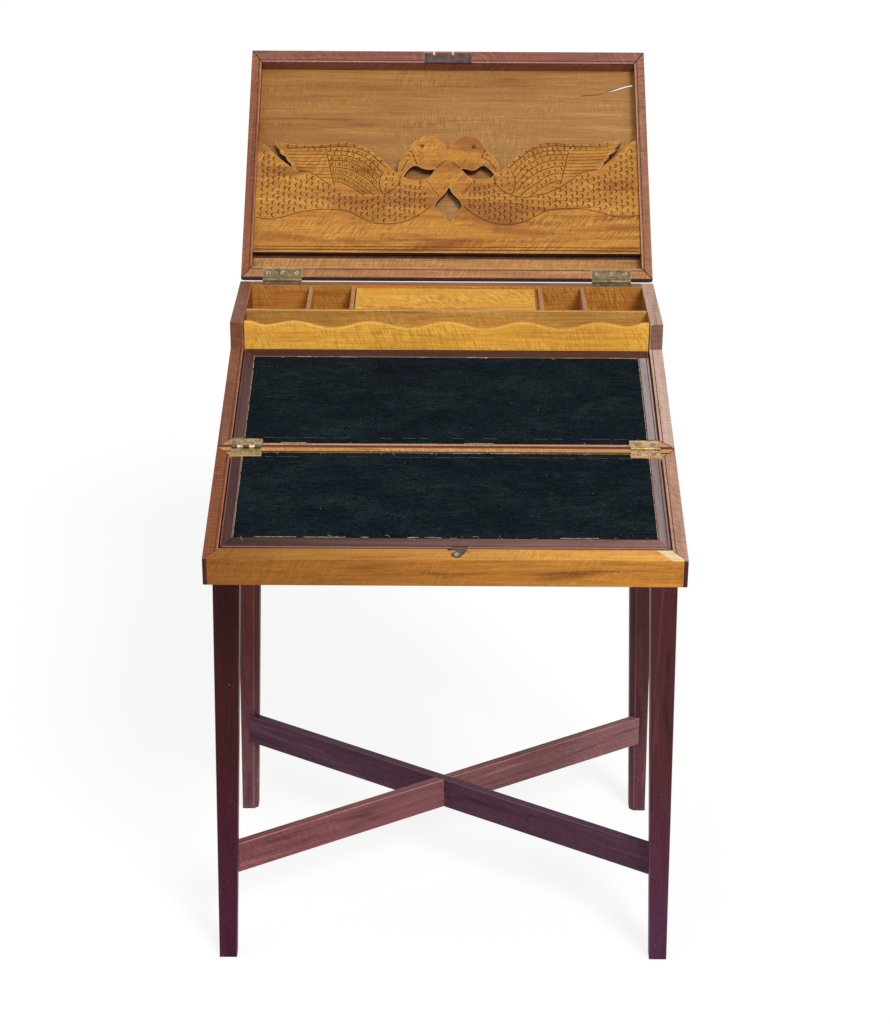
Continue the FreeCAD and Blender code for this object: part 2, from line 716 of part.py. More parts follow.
screws = list(rear_screws)
for one in rear_screws:
    screws.append(twin(one))
group("fold_hinge_rear_screws", screws, "slope")
screws = list(box_screws)
for one in box_screws:
    screws.append(twin(one))
group("lid_hinge_box_screws", screws, "floor")


# Rear section of the box
def slope_z(y):
    return base + S.fold_tall + (dim(y) - S.leaf_run) * rise


Piece("rear_base").block(-inner, inner, rear_front + S.wall, tray_back, base, base + S.base_thick)
doc.recompute()
rear_base = NODES.pop()
rear_base.Label = "rear base blank"
node(less(rear_base, [bolt_tool]), "rear_base")

back = Piece("rear back blank", export=False)
back.block(-inner, inner, tray_back, box_back, base, rim)
node(less(back.body, [box_bed_tool, bolt_tool]), "rear_back")

for label, near in (("rear_side_left", -half), ("rear_side_right", inner)):
    points = [
        (rear_front, base),
        (box_back, base),
        (box_back, rim),
        (step, rim),
        (step, slope_z(step)),
        (rear_front, slope_z(rear_front)),
    ]
    side = Piece(label)
    side.prism("YZ_Plane", points, near, near + S.wall)
    if near.value < 0:
        corner = [
            (-half - 1, rear_front - 1),
            (-inner + 1, rear_front - 1),
            (-inner + 1, rear_front + S.wall + 1),
            (-inner, rear_front + S.wall),
            (-half, rear_front),
        ]
    else:
        corner = [
            (half + 1, rear_front - 1),
            (half, rear_front),
            (inner, rear_front + S.wall),
            (inner - 1, rear_front + S.wall + 1),
            (inner - 1, rear_front - 1),
        ]
    side.hollow("XY_Plane", corner, base - 1, base + S.box_width)

# The hinge wall runs to the outer faces and is mitred into the sides
hinge_wall = Piece("rear hinge wall blank", export=False)
far = rear_front + S.wall
points = [(rear_front, base), (far, base), (far, slope_z(far)), (rear_front, slope_z(rear_front))]
hinge_wall.prism("YZ_Plane", points, -half, half)
hinge_wall.hollow(
    "XY_Plane",
    [(half, rear_front), (half, far + 50), (inner, far + 50), (inner, far)],
    base - 1,
    base + S.box_width,
)
hinge_wall.hollow(
    "XY_Plane",
    [(-half, rear_front), (-inner, far), (-inner, far + 50), (-half, far + 50)],
    base - 1,
    base + S.box_width,
)
rear_rebate = in_frame(cuboid(-S.strip_half, S.strip_half, S.strip_rear, 20, -S.baize_thick, 3), "slope")
node(less(hinge_wall.body, [rear_bed_tool, rear_rebate, bolt_tool]), "rear_hinge_wall")
Piece("rear_cloth_strip", "slope").block(
    -S.strip_half, S.strip_half, S.strip_rear, S.crease - 0.3, -S.baize_thick, 0
)

ledgers = []
ledger_top = -S.flap_thick - S.ledger_gap
ledger = cuboid(
    inner - S.ledger_wide, inner, S.crease + 2.5, S.flap_end - 3, ledger_top - S.ledger_tall, ledger_top
)
group("rear_ledgers", [ledger, twin(ledger)], "slope")

# Tray
tray_floor_top = rim - S.tray_deep
wave = []
steps = 94
for index in range(steps + 1):
    part = -1.0 + 2.0 * index / steps
    place = abs(part) * 235.0
    if place < 176.0:
        dip = 0.5 - 0.5 * math.cos(2 * math.pi * place / 88.0)
    elif place < 211.0:
        dip = 0.3 - 0.3 * math.cos(math.pi * (place - 176.0) / 35.0)
    elif place < 228.0:
        dip = 0.3 + 0.3 * math.cos(math.pi * (place - 211.0) / 17.0)
    else:
        dip = 0.0
    wave.append((inner * part, rim - S.scallop * round(dip, 4)))
points = [(inner, tray_floor_top - S.tray_floor_thick), (-inner, tray_floor_top - S.tray_floor_thick)] + wave
Piece("tray_front").prism("XZ_Plane", points, step, step + S.tray_front_thick)
trough_near = step + S.tray_front_thick
partition_near = trough_near + S.trough_run
partition_far = partition_near + S.partition
partition_top = rim - S.partition_low
Piece("tray_floor").block(
    -inner, inner, trough_near, tray_back, tray_floor_top - S.tray_floor_thick, tray_floor_top
)
trough_top = rim - S.trough_deep
Piece("trough_floor").block(
    -inner, inner, trough_near, partition_near, trough_top - S.trough_floor_thick, trough_top
)
Piece("tray_partition").block(-inner, inner, partition_near, partition_far, tray_floor_top, partition_top)
dividers = []
for at in (S.divider_in, S.divider_out):
    one = cuboid(
        at - S.partition / 2, at + S.partition / 2, partition_far, tray_back, tray_floor_top, partition_top
    )
    dividers.append(one)
    dividers.append(twin(one))
group("tray_dividers", dividers, "floor")
bay = S.divider_in - S.partition / 2
cover_top = partition_top - S.cover_low
cover_low = cover_top - S.cover_thick
ledge = cuboid(bay - S.ledge_wide, bay, partition_far, tray_back, cover_low - 6, cover_low - 0.2)
group("cover_ledges", [ledge, twin(ledge)], "floor")
Piece("pen_cover").block(
    -bay + S.cover_gap,
    bay - S.cover_end_gap,
    partition_far + S.cover_gap,
    tray_back - S.cover_gap,
    cover_low,
    cover_top,
)


# Flaps: a core panel, three mitred borders and the baize between them
def flap(name, sign, far):
    """sign is 1 for the upper flap, which runs up the slope, and -1 for the lower one."""
    outer = inner - S.flap_side_gap
    edge = outer - S.border_wide
    near = sign * (S.crease + 0.3)
    end = sign * far
    stop = sign * (far - S.border_end_wide)
    low = -S.flap_thick
    panel = Piece(name + "_panel", "slope")
    if sign > 0:
        panel.block(-edge, edge, near, stop, low, -S.baize_thick)
    else:
        panel.block(-edge, edge, stop, near, low, -S.baize_thick)
    side = Piece(name + " side border", "slope", export=False)
    side.prism("XY_Plane", [(edge, near), (outer, near), (outer, end), (edge, stop)], low, 0)
    last = Piece(name + " end border", "slope", export=False)
    last.prism("XY_Plane", [(-outer, end), (outer, end), (edge, stop), (-edge, stop)], low, 0)
    baize = Piece(name + "_baize", "slope")
    if sign > 0:
        baize.block(-edge, edge, near, stop, -S.baize_thick, 0)
    else:
        baize.block(-edge, edge, stop, near, -S.baize_thick, 0)
    return side.body, last.body


def border_group(label, side, last):
    bundle = doc.addObject("Part::Compound", fresh("Group"))
    bundle.Links = [side, twin(side), last]
    node(bundle, label)


upper_side, upper_last = flap("upper_flap", 1, S.flap_end)
border_group("upper_flap_borders", upper_side, upper_last)
lower_side, lower_last = flap("lower_flap", -1, S.lower_end)
notch = in_frame(
    cuboid(S.catch_x - 5, S.catch_x + 11, -S.lower_end - 1, -S.lower_end + 4.5, -S.catch_sunk - 0.1, 2), "slope"
)
border_group("lower_flap_borders", lower_side, less(lower_last, [notch]))

# Front section of the box
lip_y = S.leaf_run - S.crease * cosine(slope)
lip_z = slope_z(lip_y)
lip_drop = S.flap_thick + 1.5
face_y = lip_y + lip_drop * sine(slope)
Piece("front_bottom").block(-inner, inner, S.rail_wide * cosine(slope), face_y, base, base + S.base_thick)

# Flap catch: a pear-shaped turn button sunk in the front rail
button = Piece("flap catch blank", "slope", export=False)
rest_turn = math.radians(45)
outline = []
for angle in range(70, 291, 20):
    turn = rest_turn + math.radians(angle)
    outline.append(
        (S.catch_x + S.catch_boss * round(math.cos(turn), 5), S.catch_y + S.catch_boss * round(math.sin(turn), 5))
    )
for angle in (-9, 0, 9):
    turn = rest_turn + math.radians(angle)
    outline.append(
        (S.catch_x + S.catch_reach * round(math.cos(turn), 5), S.catch_y + S.catch_reach * round(math.sin(turn), 5))
    )
button_low = -S.catch_thick - 0.1
button.prism("XY_Plane", outline, button_low, -0.1)
pivot_hole = in_frame(rod("z", S.catch_x, S.catch_y, -3, S.screw_round + 0.08, 6), "slope")
pivot_head = in_frame(rod("z", S.catch_x, S.catch_y, -0.9, S.screw_head + 0.6, 3), "slope")
node(less(button.body, [pivot_hole, pivot_head]), "flap_catch")
pivot = join(
    [
        rod("z", S.catch_x, S.catch_y, -S.screw_long, S.screw_round, S.screw_long - 0.6),
        rod("z", S.catch_x, S.catch_y, -0.75, S.screw_head + 0.3, 0.7),
    ]
)
pivot_slot = cuboid(S.catch_x - 4, S.catch_x + 4, S.catch_y - 0.3, S.catch_y + 0.3, -0.4, 1)
screws = list(front_screws)
for one in front_screws:
    screws.append(twin(one))
screws.append(less(pivot, [pivot_slot]))
group("front_screws", screws, "slope")

rail = Piece("front rail blank", export=False)
rail_back = S.rail_wide * cosine(slope)
points = [(0, base), (rail_back, base), (rail_back, slope_z(rail_back)), (0, slope_z(0))]
rail.prism("YZ_Plane", points, -half, half)
big = S.box_width
rail.hollow("XY_Plane", [(-half, 0), (-inner, S.wall), (-inner, 100), (-half, 100)], base - 1, base + big)
rail.hollow("XY_Plane", [(half, 0), (half, 100), (inner, 100), (inner, S.wall)], base - 1, base + big)
fan = Piece("catch recess", "slope", export=False)
outline = []
for angle in range(152, 345, 24):
    turn = math.radians(angle)
    reach = S.catch_boss + 0.9
    outline.append((S.catch_x + reach * round(math.cos(turn), 5), S.catch_y + reach * round(math.sin(turn), 5)))
for angle in range(10, 141, 10):
    turn = math.radians(angle)
    reach = S.catch_reach + 0.9
    outline.append((S.catch_x + reach * round(math.cos(turn), 5), S.catch_y + reach * round(math.sin(turn), 5)))
fan.prism("XY_Plane", outline, -S.catch_sunk, 3)
pivot_bed = in_frame(rod("z", S.catch_x, S.catch_y, -S.screw_long, S.screw_round, S.screw_long), "slope")
node(less(rail.body, [fan.body, pivot_bed]), "front_rail")

for label, near, outer_x, inner_x in (
    ("front_side_left", -half, -half, -inner),
    ("front_side_right", inner, half, inner),
):
    side = Piece(label)
    points = [(0, base), (front_back, base), (front_back, slope_z(front_back)), (0, slope_z(0))]
    side.prism("YZ_Plane", points, near, near + S.wall)
    if near.value < 0:
        corner = [(outer_x - 1, -1), (inner_x + 1, -1), (inner_x + 1, S.wall + 1), (inner_x, S.wall), (outer_x, 0)]
    else:
        corner = [(outer_x + 1, -1), (outer_x, 0), (inner_x, S.wall), (inner_x - 1, S.wall + 1), (inner_x - 1, -1)]
    side.hollow("XY_Plane", corner, base - 1, base + big)
    if near.value < 0:
        corner = [
            (outer_x - 1, front_back + 1),
            (outer_x, front_back),
            (inner_x, face_y),
            (inner_x + 1, face_y - 1),
            (inner_x + 1, front_back + 1),
        ]
    else:
        corner = [
            (outer_x + 1, front_back + 1),
            (inner_x - 1, front_back + 1),
            (inner_x - 1, face_y - 1),
            (inner_x, face_y),
            (outer_x, front_back),
        ]
    side.hollow("XY_Plane", corner, base - 1, base + big)

wall = Piece("front hinge wall blank", export=False)
points = [
    (face_y, base),
    (front_back, base),
    (front_back, slope_z(front_back)),
    (lip_y, lip_z),
    (face_y, lip_z - lip_drop * cosine(slope)),
]
wall.prism("YZ_Plane", points, -half, half)
wall.hollow(
    "XY_Plane", [(half, front_back), (inner, face_y), (inner, face_y - 50), (half, face_y - 50)], base - 1, base + big
)
wall.hollow(
    "XY_Plane", [(-half, front_back), (-half, face_y - 50), (-inner, face_y - 50), (-inner, face_y)], base - 1, base + big
)
front_rebate = in_frame(cuboid(-S.strip_half, S.strip_half, -20, -S.strip_front, -S.baize_thick, 3), "slope")
lock_far = S.lock_near + S.lock_thick
lock_seat = in_frame(
    cuboid(-S.lock_half, S.lock_half, S.lock_near, lock_far, base - 1, base + S.lock_tall), "floor"
)
key_mid = base + S.key_low + S.key_tall / 2
key_seat = in_frame(
    cuboid(
        -S.key_wide, S.key_wide, front_back - S.key_thick, front_back + 1, base + S.key_low,
        base + S.key_low + S.key_tall
    ),
    "floor",
)
key_way = in_frame(
    join(
        [
            rod("y", 0, lock_far - 2, key_mid + 2, S.key_round, 8),
            cuboid(-1, 1, lock_far - 2, front_back + 2, key_mid - 5, key_mid + 2),
        ]
    ),
    "floor",
)
node(less(wall.body, [front_bed_tool, front_rebate, lock_seat, key_seat, key_way]), "front_hinge_wall")
Piece("front_cloth_strip", "slope").block(
    -S.strip_half, S.strip_half, -S.crease + 0.3, -S.strip_front, -S.baize_thick, 0
)
ledger = cuboid(
    inner - S.ledger_wide, inner, -S.lower_end + 3, -S.crease - 2.5, ledger_top - S.ledger_tall, ledger_top
)
group("front_ledgers", [ledger, twin(ledger)], "slope")

# Lock: case with selvedge, bolt with two prongs, escutcheon
escutcheon = Piece("escutcheon blank", export=False)
escutcheon.block(
    -S.key_wide, S.key_wide, front_back - S.key_thick, front_back, base + S.key_low, base + S.key_low + S.key_tall
)
node(less(escutcheon.body, [key_way]), "escutcheon")
lock_mid = S.lock_near + S.lock_thick / 2
case = Piece("lock case blank", export=False)
case.block(-S.lock_half, S.lock_half, S.lock_near, lock_far, base, base + S.lock_tall)
case.slot(-27.5, 14, lock_mid - 3.6, lock_mid + 3.6, base + S.lock_plate, base + 13.2)
for eye in (S.eye_one, S.eye_two):
    reach = S.eye_thick / 2 + 1
    case.slot(eye - reach, eye + reach, lock_mid - 3.6, lock_mid + 3.6, base - 1, base + S.lock_plate)
node(less(case.body, [key_way]), "lock_case")
bolt_parts = []
tips = []
for eye in (S.eye_one, S.eye_two):
    tip = eye - S.eye_thick / 2 - S.prong_room
    start = tip - S.prong_long
    bolt_parts.append(rod("x", start, lock_mid, base + S.eye_hole, S.prong, S.prong_long))
    bolt_parts.append(
        cuboid(start, start + 1.8, lock_mid - S.prong, lock_mid + S.prong, base + S.eye_hole - 1, base + 10)
    )
    tips.append(start)
bolt_parts.append(cuboid(tips[0], tips[1] + 1.8, lock_mid - 2.2, lock_mid + 2.2, base + 9, base + 12.4))
group("lock_bolt", [join(bolt_parts)], "floor")

# Lid, drawn shut in its own frame: y runs forward from the hinge axis as negative, z up
lid_near = -S.lid_axis_out
lid_depth = S.leaf_run + S.tray_run
lid_far = -(S.lid_axis_out + lid_depth)
low = S.lid_axis_up
high = low + S.rim_tall
rear_in = lid_near - S.rim_rear_wide
front_in = lid_far + S.rim_front_wide
side_in = half - S.rim_wide
# The rear edge is bevelled, so that the lid can lean back behind the box
bevel = Piece("lid rear bevel", "lid", export=False)
bevel.prism(
    "YZ_Plane",
    [
        (lid_near + 1, low + S.bevel_up),
        (lid_near, low + S.bevel_up),
        (lid_near - S.bevel_run, high + S.lid_thick + 1),
        (lid_near + 1, high + S.lid_thick + 1),
    ],
    -half - 1,
    half + 1,
)
panel = Piece("lid panel blank", "lid", export=False)
panel.block(-half, half, lid_far, lid_near, high, high + S.lid_thick)
node(less(panel.body, [bevel.body]), "lid_panel")
rim_rear = Piece("lid rear rim blank", "lid", export=False)
rim_rear.prism(
    "XY_Plane", [(-half, lid_near), (-side_in, rear_in), (side_in, rear_in), (half, lid_near)], low, high
)
node(less(rim_rear.body, [lid_bed_tool, bevel.body]), "lid_rim_rear")
eye_y = -(axis_y - (2 * (S.leaf_run - S.fold_lift * sine(slope)) - lock_mid))
plate_low = eye_y - S.lock_thick / 2
plate_high = plate_low + S.plate_wide
plate_screws = []
plate_holes = []
for at in (-24.5, -5.9, 19.7):
    made, hole = screw(dim(at), eye_y, low, 1)
    plate_screws.append(made)
    plate_holes.append(hole)
plate_seat = in_frame(
    join(
        [cuboid(-S.lock_half, S.lock_half, plate_low, plate_high, low - 1, low + S.lock_plate)] + plate_holes
    ),
    "lid",
)
rim_front = Piece("lid front rim blank", "lid", export=False)
rim_front.prism(
    "XY_Plane", [(-half, lid_far), (half, lid_far), (side_in, front_in), (-side_in, front_in)], low, high
)
node(less(rim_front.body, [plate_seat]), "lid_rim_front")
rim_left = Piece("lid left rim blank", "lid", export=False)
rim_left.prism(
    "XY_Plane", [(-half, lid_far), (-side_in, front_in), (-side_in, rear_in), (-half, lid_near)], low, high
)
node(less(rim_left.body, [bevel.body]), "lid_rim_left")
rim_right = Piece("lid right rim blank", "lid", export=False)
rim_right.prism(
    "XY_Plane", [(half, lid_far), (half, lid_near), (side_in, rear_in), (side_in, front_in)], low, high
)
node(less(rim_right.body, [bevel.body]), "lid_rim_right")
eye_parts = [cuboid(-S.lock_half, S.lock_half, plate_low, plate_high, low, low + S.lock_plate)]
eye_cuts = list(plate_holes)
for eye in (S.eye_one, S.eye_two):
    thick = S.eye_thick / 2
    wide = S.eye_wide / 2
    eye_parts.append(cuboid(eye - thick, eye + thick, eye_y - wide, eye_y + wide, low - S.eye_deep, low + 1))
    depth = -2 * S.lid_axis_up + 0.2 - S.eye_hole
    eye_cuts.append(rod("x", eye - 3, eye_y, depth, S.eye_bore, 6))
group("lid_lock_plate", [less(join(eye_parts), eye_cuts)], "lid")
screws = list(lid_screws)
for one in lid_screws:
    screws.append(twin(one))
screws = screws + plate_screws
group("lid_screws", screws, "lid")

# Letter rack: a fretted board stood off the lid panel on two spacers, above a foot strip
rack_half = side_in - 0.2
HALF_FRET = [
    (1.000, 0.920),
    (0.985, 0.945),
    (0.950, 0.950),
    (0.925, 0.935),
    (0.860, 0.800),
    (0.772, 0.665),
    (0.790, 0.720),
    (0.860, 0.880),
    (0.890, 0.930),
    (0.850, 0.950),
    (0.720, 0.958),
    (0.560, 0.935),
    (0.430, 0.880),
    (0.330, 0.815),
    (0.275, 0.770),
    (0.262, 0.700),
    (0.244, 0.672),
    (0.228, 0.690),
    (0.222, 0.770),
    (0.192, 0.900),
    (0.150, 0.965),
    (0.105, 0.985),
    (0.055, 0.960),
    (0.020, 0.905),
]
fret = [(-rack_half, -S.rack_near), (rack_half, -S.rack_near)]
for across, up in HALF_FRET:
    fret.append((rack_half * across, -(S.rack_near + S.rack_rise * up)))
for across, up in reversed(HALF_FRET):
    fret.append((-(rack_half * across), -(S.rack_near + S.rack_rise * up)))
rack = Piece("letter_rack", "lid")
rack_low = low + S.rack_sunk
rack_high = rack_low + S.rack_thick
rack.prism("XY_Plane", fret, rack_low, rack_high)
opening = []
for across, up in ((0.0, 0.245), (0.060, 0.435), (0.0, 0.558), (-0.060, 0.435)):
    opening.append((rack_half * across, -(S.rack_near + S.rack_rise * up)))
rack.hollow("XY_Plane", opening, rack_low - 1, rack_high + 1)
spacer = cuboid(
    side_in - S.spacer_wide,
    side_in,
    -(S.rack_near + S.rack_rise * 0.9),
    -(S.rack_near + S.spacer_back),
    rack_high,
    high,
)
foot = cuboid(-side_in, side_in, -(S.rack_near + S.spacer_back), rear_in, high - S.foot_thick, high)
group("rack_spacers", [spacer, twin(spacer), foot], "lid")

doc.recompute()
for thing in doc.Objects:
    for state in thing.State:
        if state in ("Invalid", "Error"):
            raise RuntimeError(thing.Label + " " + state)
os.makedirs("parts", exist_ok=True)
for thing in NODES:
    shape = thing.Shape
    if shape.isNull() or not shape.isValid() or not shape.Solids:
        raise RuntimeError(thing.Label + " has no sound shape")
    shape.exportStep("parts/" + thing.Label + ".step")
print(len(NODES), "pieces")
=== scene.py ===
import json
import math
import random

import bmesh
import bpy
import numpy as np
from mathutils import Matrix, Vector
from mathutils.geometry import delaunay_2d_cdt

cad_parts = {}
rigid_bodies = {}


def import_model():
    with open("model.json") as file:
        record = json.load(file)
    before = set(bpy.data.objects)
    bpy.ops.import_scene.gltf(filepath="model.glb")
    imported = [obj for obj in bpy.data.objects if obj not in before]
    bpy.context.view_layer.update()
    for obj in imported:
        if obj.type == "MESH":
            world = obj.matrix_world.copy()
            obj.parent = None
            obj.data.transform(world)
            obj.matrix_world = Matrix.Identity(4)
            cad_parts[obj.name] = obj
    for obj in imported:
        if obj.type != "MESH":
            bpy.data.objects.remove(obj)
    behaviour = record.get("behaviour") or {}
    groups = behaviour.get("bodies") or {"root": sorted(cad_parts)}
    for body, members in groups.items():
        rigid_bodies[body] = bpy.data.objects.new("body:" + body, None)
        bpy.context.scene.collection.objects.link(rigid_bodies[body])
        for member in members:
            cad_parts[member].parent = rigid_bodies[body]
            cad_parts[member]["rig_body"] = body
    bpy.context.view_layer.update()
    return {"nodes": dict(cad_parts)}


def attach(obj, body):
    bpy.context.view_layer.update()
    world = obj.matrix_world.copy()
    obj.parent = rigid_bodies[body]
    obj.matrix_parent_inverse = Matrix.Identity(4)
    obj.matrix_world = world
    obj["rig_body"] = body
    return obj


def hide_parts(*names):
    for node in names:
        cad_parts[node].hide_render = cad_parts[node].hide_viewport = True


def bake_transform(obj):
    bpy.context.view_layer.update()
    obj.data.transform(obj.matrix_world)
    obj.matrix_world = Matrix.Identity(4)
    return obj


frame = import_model()
nodes = frame["nodes"]

# Frames of the desk, in millimetres from the front face of the opened front section
MM = 0.001
HALF_WIDE = 250.0
MID_BACK = 405.17
FOLD_DEEP = 189.0
FOLD_HIGH = 660.0
FRONT_DROP = 46.0
SLOPE = math.atan2(FRONT_DROP, FOLD_DEEP)
LID_LEAN = math.radians(40.0)
LID_AXIS = (0.0, 126.83, 737.416)
RIM_HIGH = 737.166
BOX_BACK = 122.83


def set_frame(origin, lean):
    """Millimetre frame whose y runs up a board that leans by this angle, and whose z stands out of it."""
    turn = Matrix.Rotation(lean, 4, "X")
    return Matrix.Translation(Vector(origin) * MM) @ turn @ Matrix.Scale(MM, 4)


LEVEL = set_frame((0.0, -MID_BACK, 0.0), 0.0)
SLOPED = set_frame((0.0, FOLD_DEEP - MID_BACK, FOLD_HIGH), SLOPE)
LID = set_frame(LID_AXIS, LID_LEAN)
ACROSS = Vector((1.0, 0.0, 0.0))
FORWARD = Vector((0.0, -1.0, 0.0))
UPWARD = Vector((0.0, 0.0, 1.0))
SLOPE_RISE, SLOPE_OUT = (SLOPED.to_3x3().col[k].normalized() for k in (1, 2))
LID_RISE, LID_OUT = (LID.to_3x3().col[k].normalized() for k in (1, 2))


# Finishes
def feed(tree, node, inputs):
    """Set these inputs of a node, or link them where the value comes from another node."""
    for key, value in inputs.items():
        if isinstance(value, bpy.types.NodeSocket):
            tree.links.new(value, node.inputs[key])
        else:
            node.inputs[key].default_value = value


def put(tree, kind, inputs=None, **settings):
    made = tree.nodes.new(kind)
    for key, value in settings.items():
        setattr(made, key, value)
    feed(tree, made, inputs or {})
    return made


def new_finish(name):
    """A new material with its tree, its shader and the place on the piece."""
    finish = bpy.data.materials.new(name)
    finish.use_nodes = True
    tree = finish.node_tree
    place = put(tree, "ShaderNodeTexCoord").outputs["Object"]
    return finish, tree, tree.nodes["Principled BSDF"], place


def cloud(tree, place, stretch, detail=2.0, rough=0.5, twist=0.0):
    spread = put(tree, "ShaderNodeVectorMath", {0: place, 1: stretch}, operation="MULTIPLY").outputs[0]
    settings = {"Vector": spread, "Scale": 1.0, "Detail": detail, "Roughness": rough, "Distortion": twist}
    return put(tree, "ShaderNodeTexNoise", settings).outputs["Fac"]


def ranged(tree, value, low, high, to_low=0.0, to_high=1.0):
    settings = {"Value": value, "From Min": low, "From Max": high, "To Min": to_low, "To Max": to_high}
    return put(tree, "ShaderNodeMapRange", settings).outputs[0]


def reckon(tree, operation, first, second):
    return put(tree, "ShaderNodeMath", {0: first, 1: second}, operation=operation).outputs[0]


def product(tree, first, second):
    return reckon(tree, "MULTIPLY", first, second)


def along(tree, place, axis):
    return put(tree, "ShaderNodeSeparateXYZ", {0: place}).outputs[axis]


def opaque(colour):
    """A written colour gets its alpha; one that comes from a node stays as it is."""
    return colour if isinstance(colour, bpy.types.NodeSocket) else (*colour, 1.0)


def mixed(tree, share, first, second, way="MIX"):
    inputs = {0: share, 6: opaque(first), 7: opaque(second)}
    return put(tree, "ShaderNodeMix", inputs, data_type="RGBA", blend_type=way).outputs[2]


def toned(tree, colour, red, green, blue):
    """A colour with each channel multiplied by a value of its own."""
    tone = put(tree, "ShaderNodeCombineColor", {0: red, 1: green, 2: blue}).outputs[0]
    return mixed(tree, 1.0, colour, tone, "MULTIPLY")


def stops(tree, value, marks):
    ramp = put(tree, "ShaderNodeValToRGB", {"Fac": value})
    band = ramp.color_ramp
    while len(band.elements) < len(marks):
        band.elements.new(0.5)
    for element, (at, colour) in zip(band.elements, marks):
        element.position = at
        element.color = opaque(colour)
    return ramp.outputs["Color"]


def roughen(tree, shader, height, strength, deep):
    bump = put(tree, "ShaderNodeBump", {"Height": height, "Strength": strength, "Distance": deep})
    feed(tree, shader, {"Normal": bump.outputs["Normal"]})


# How a board is turned, so that its grain runs along it
GRAIN_ACROSS = (0.0, 0.0, 0.0)
GRAIN_DEEP = (0.0, 0.0, -math.pi / 2)
GRAIN_UP = (0.0, math.pi / 2, 0.0)
GRAIN_SLOPE = (-SLOPE, 0.0, -math.pi / 2)
GRAIN_LID = (-LID_LEAN, 0.0, 0.0)
GRAIN_LID_UP = (-LID_LEAN, 0.0, -math.pi / 2)
GRAIN_OBLIQUE = (0.0, 0.0, 0.7)
BAR_TURN = math.radians(32.0)

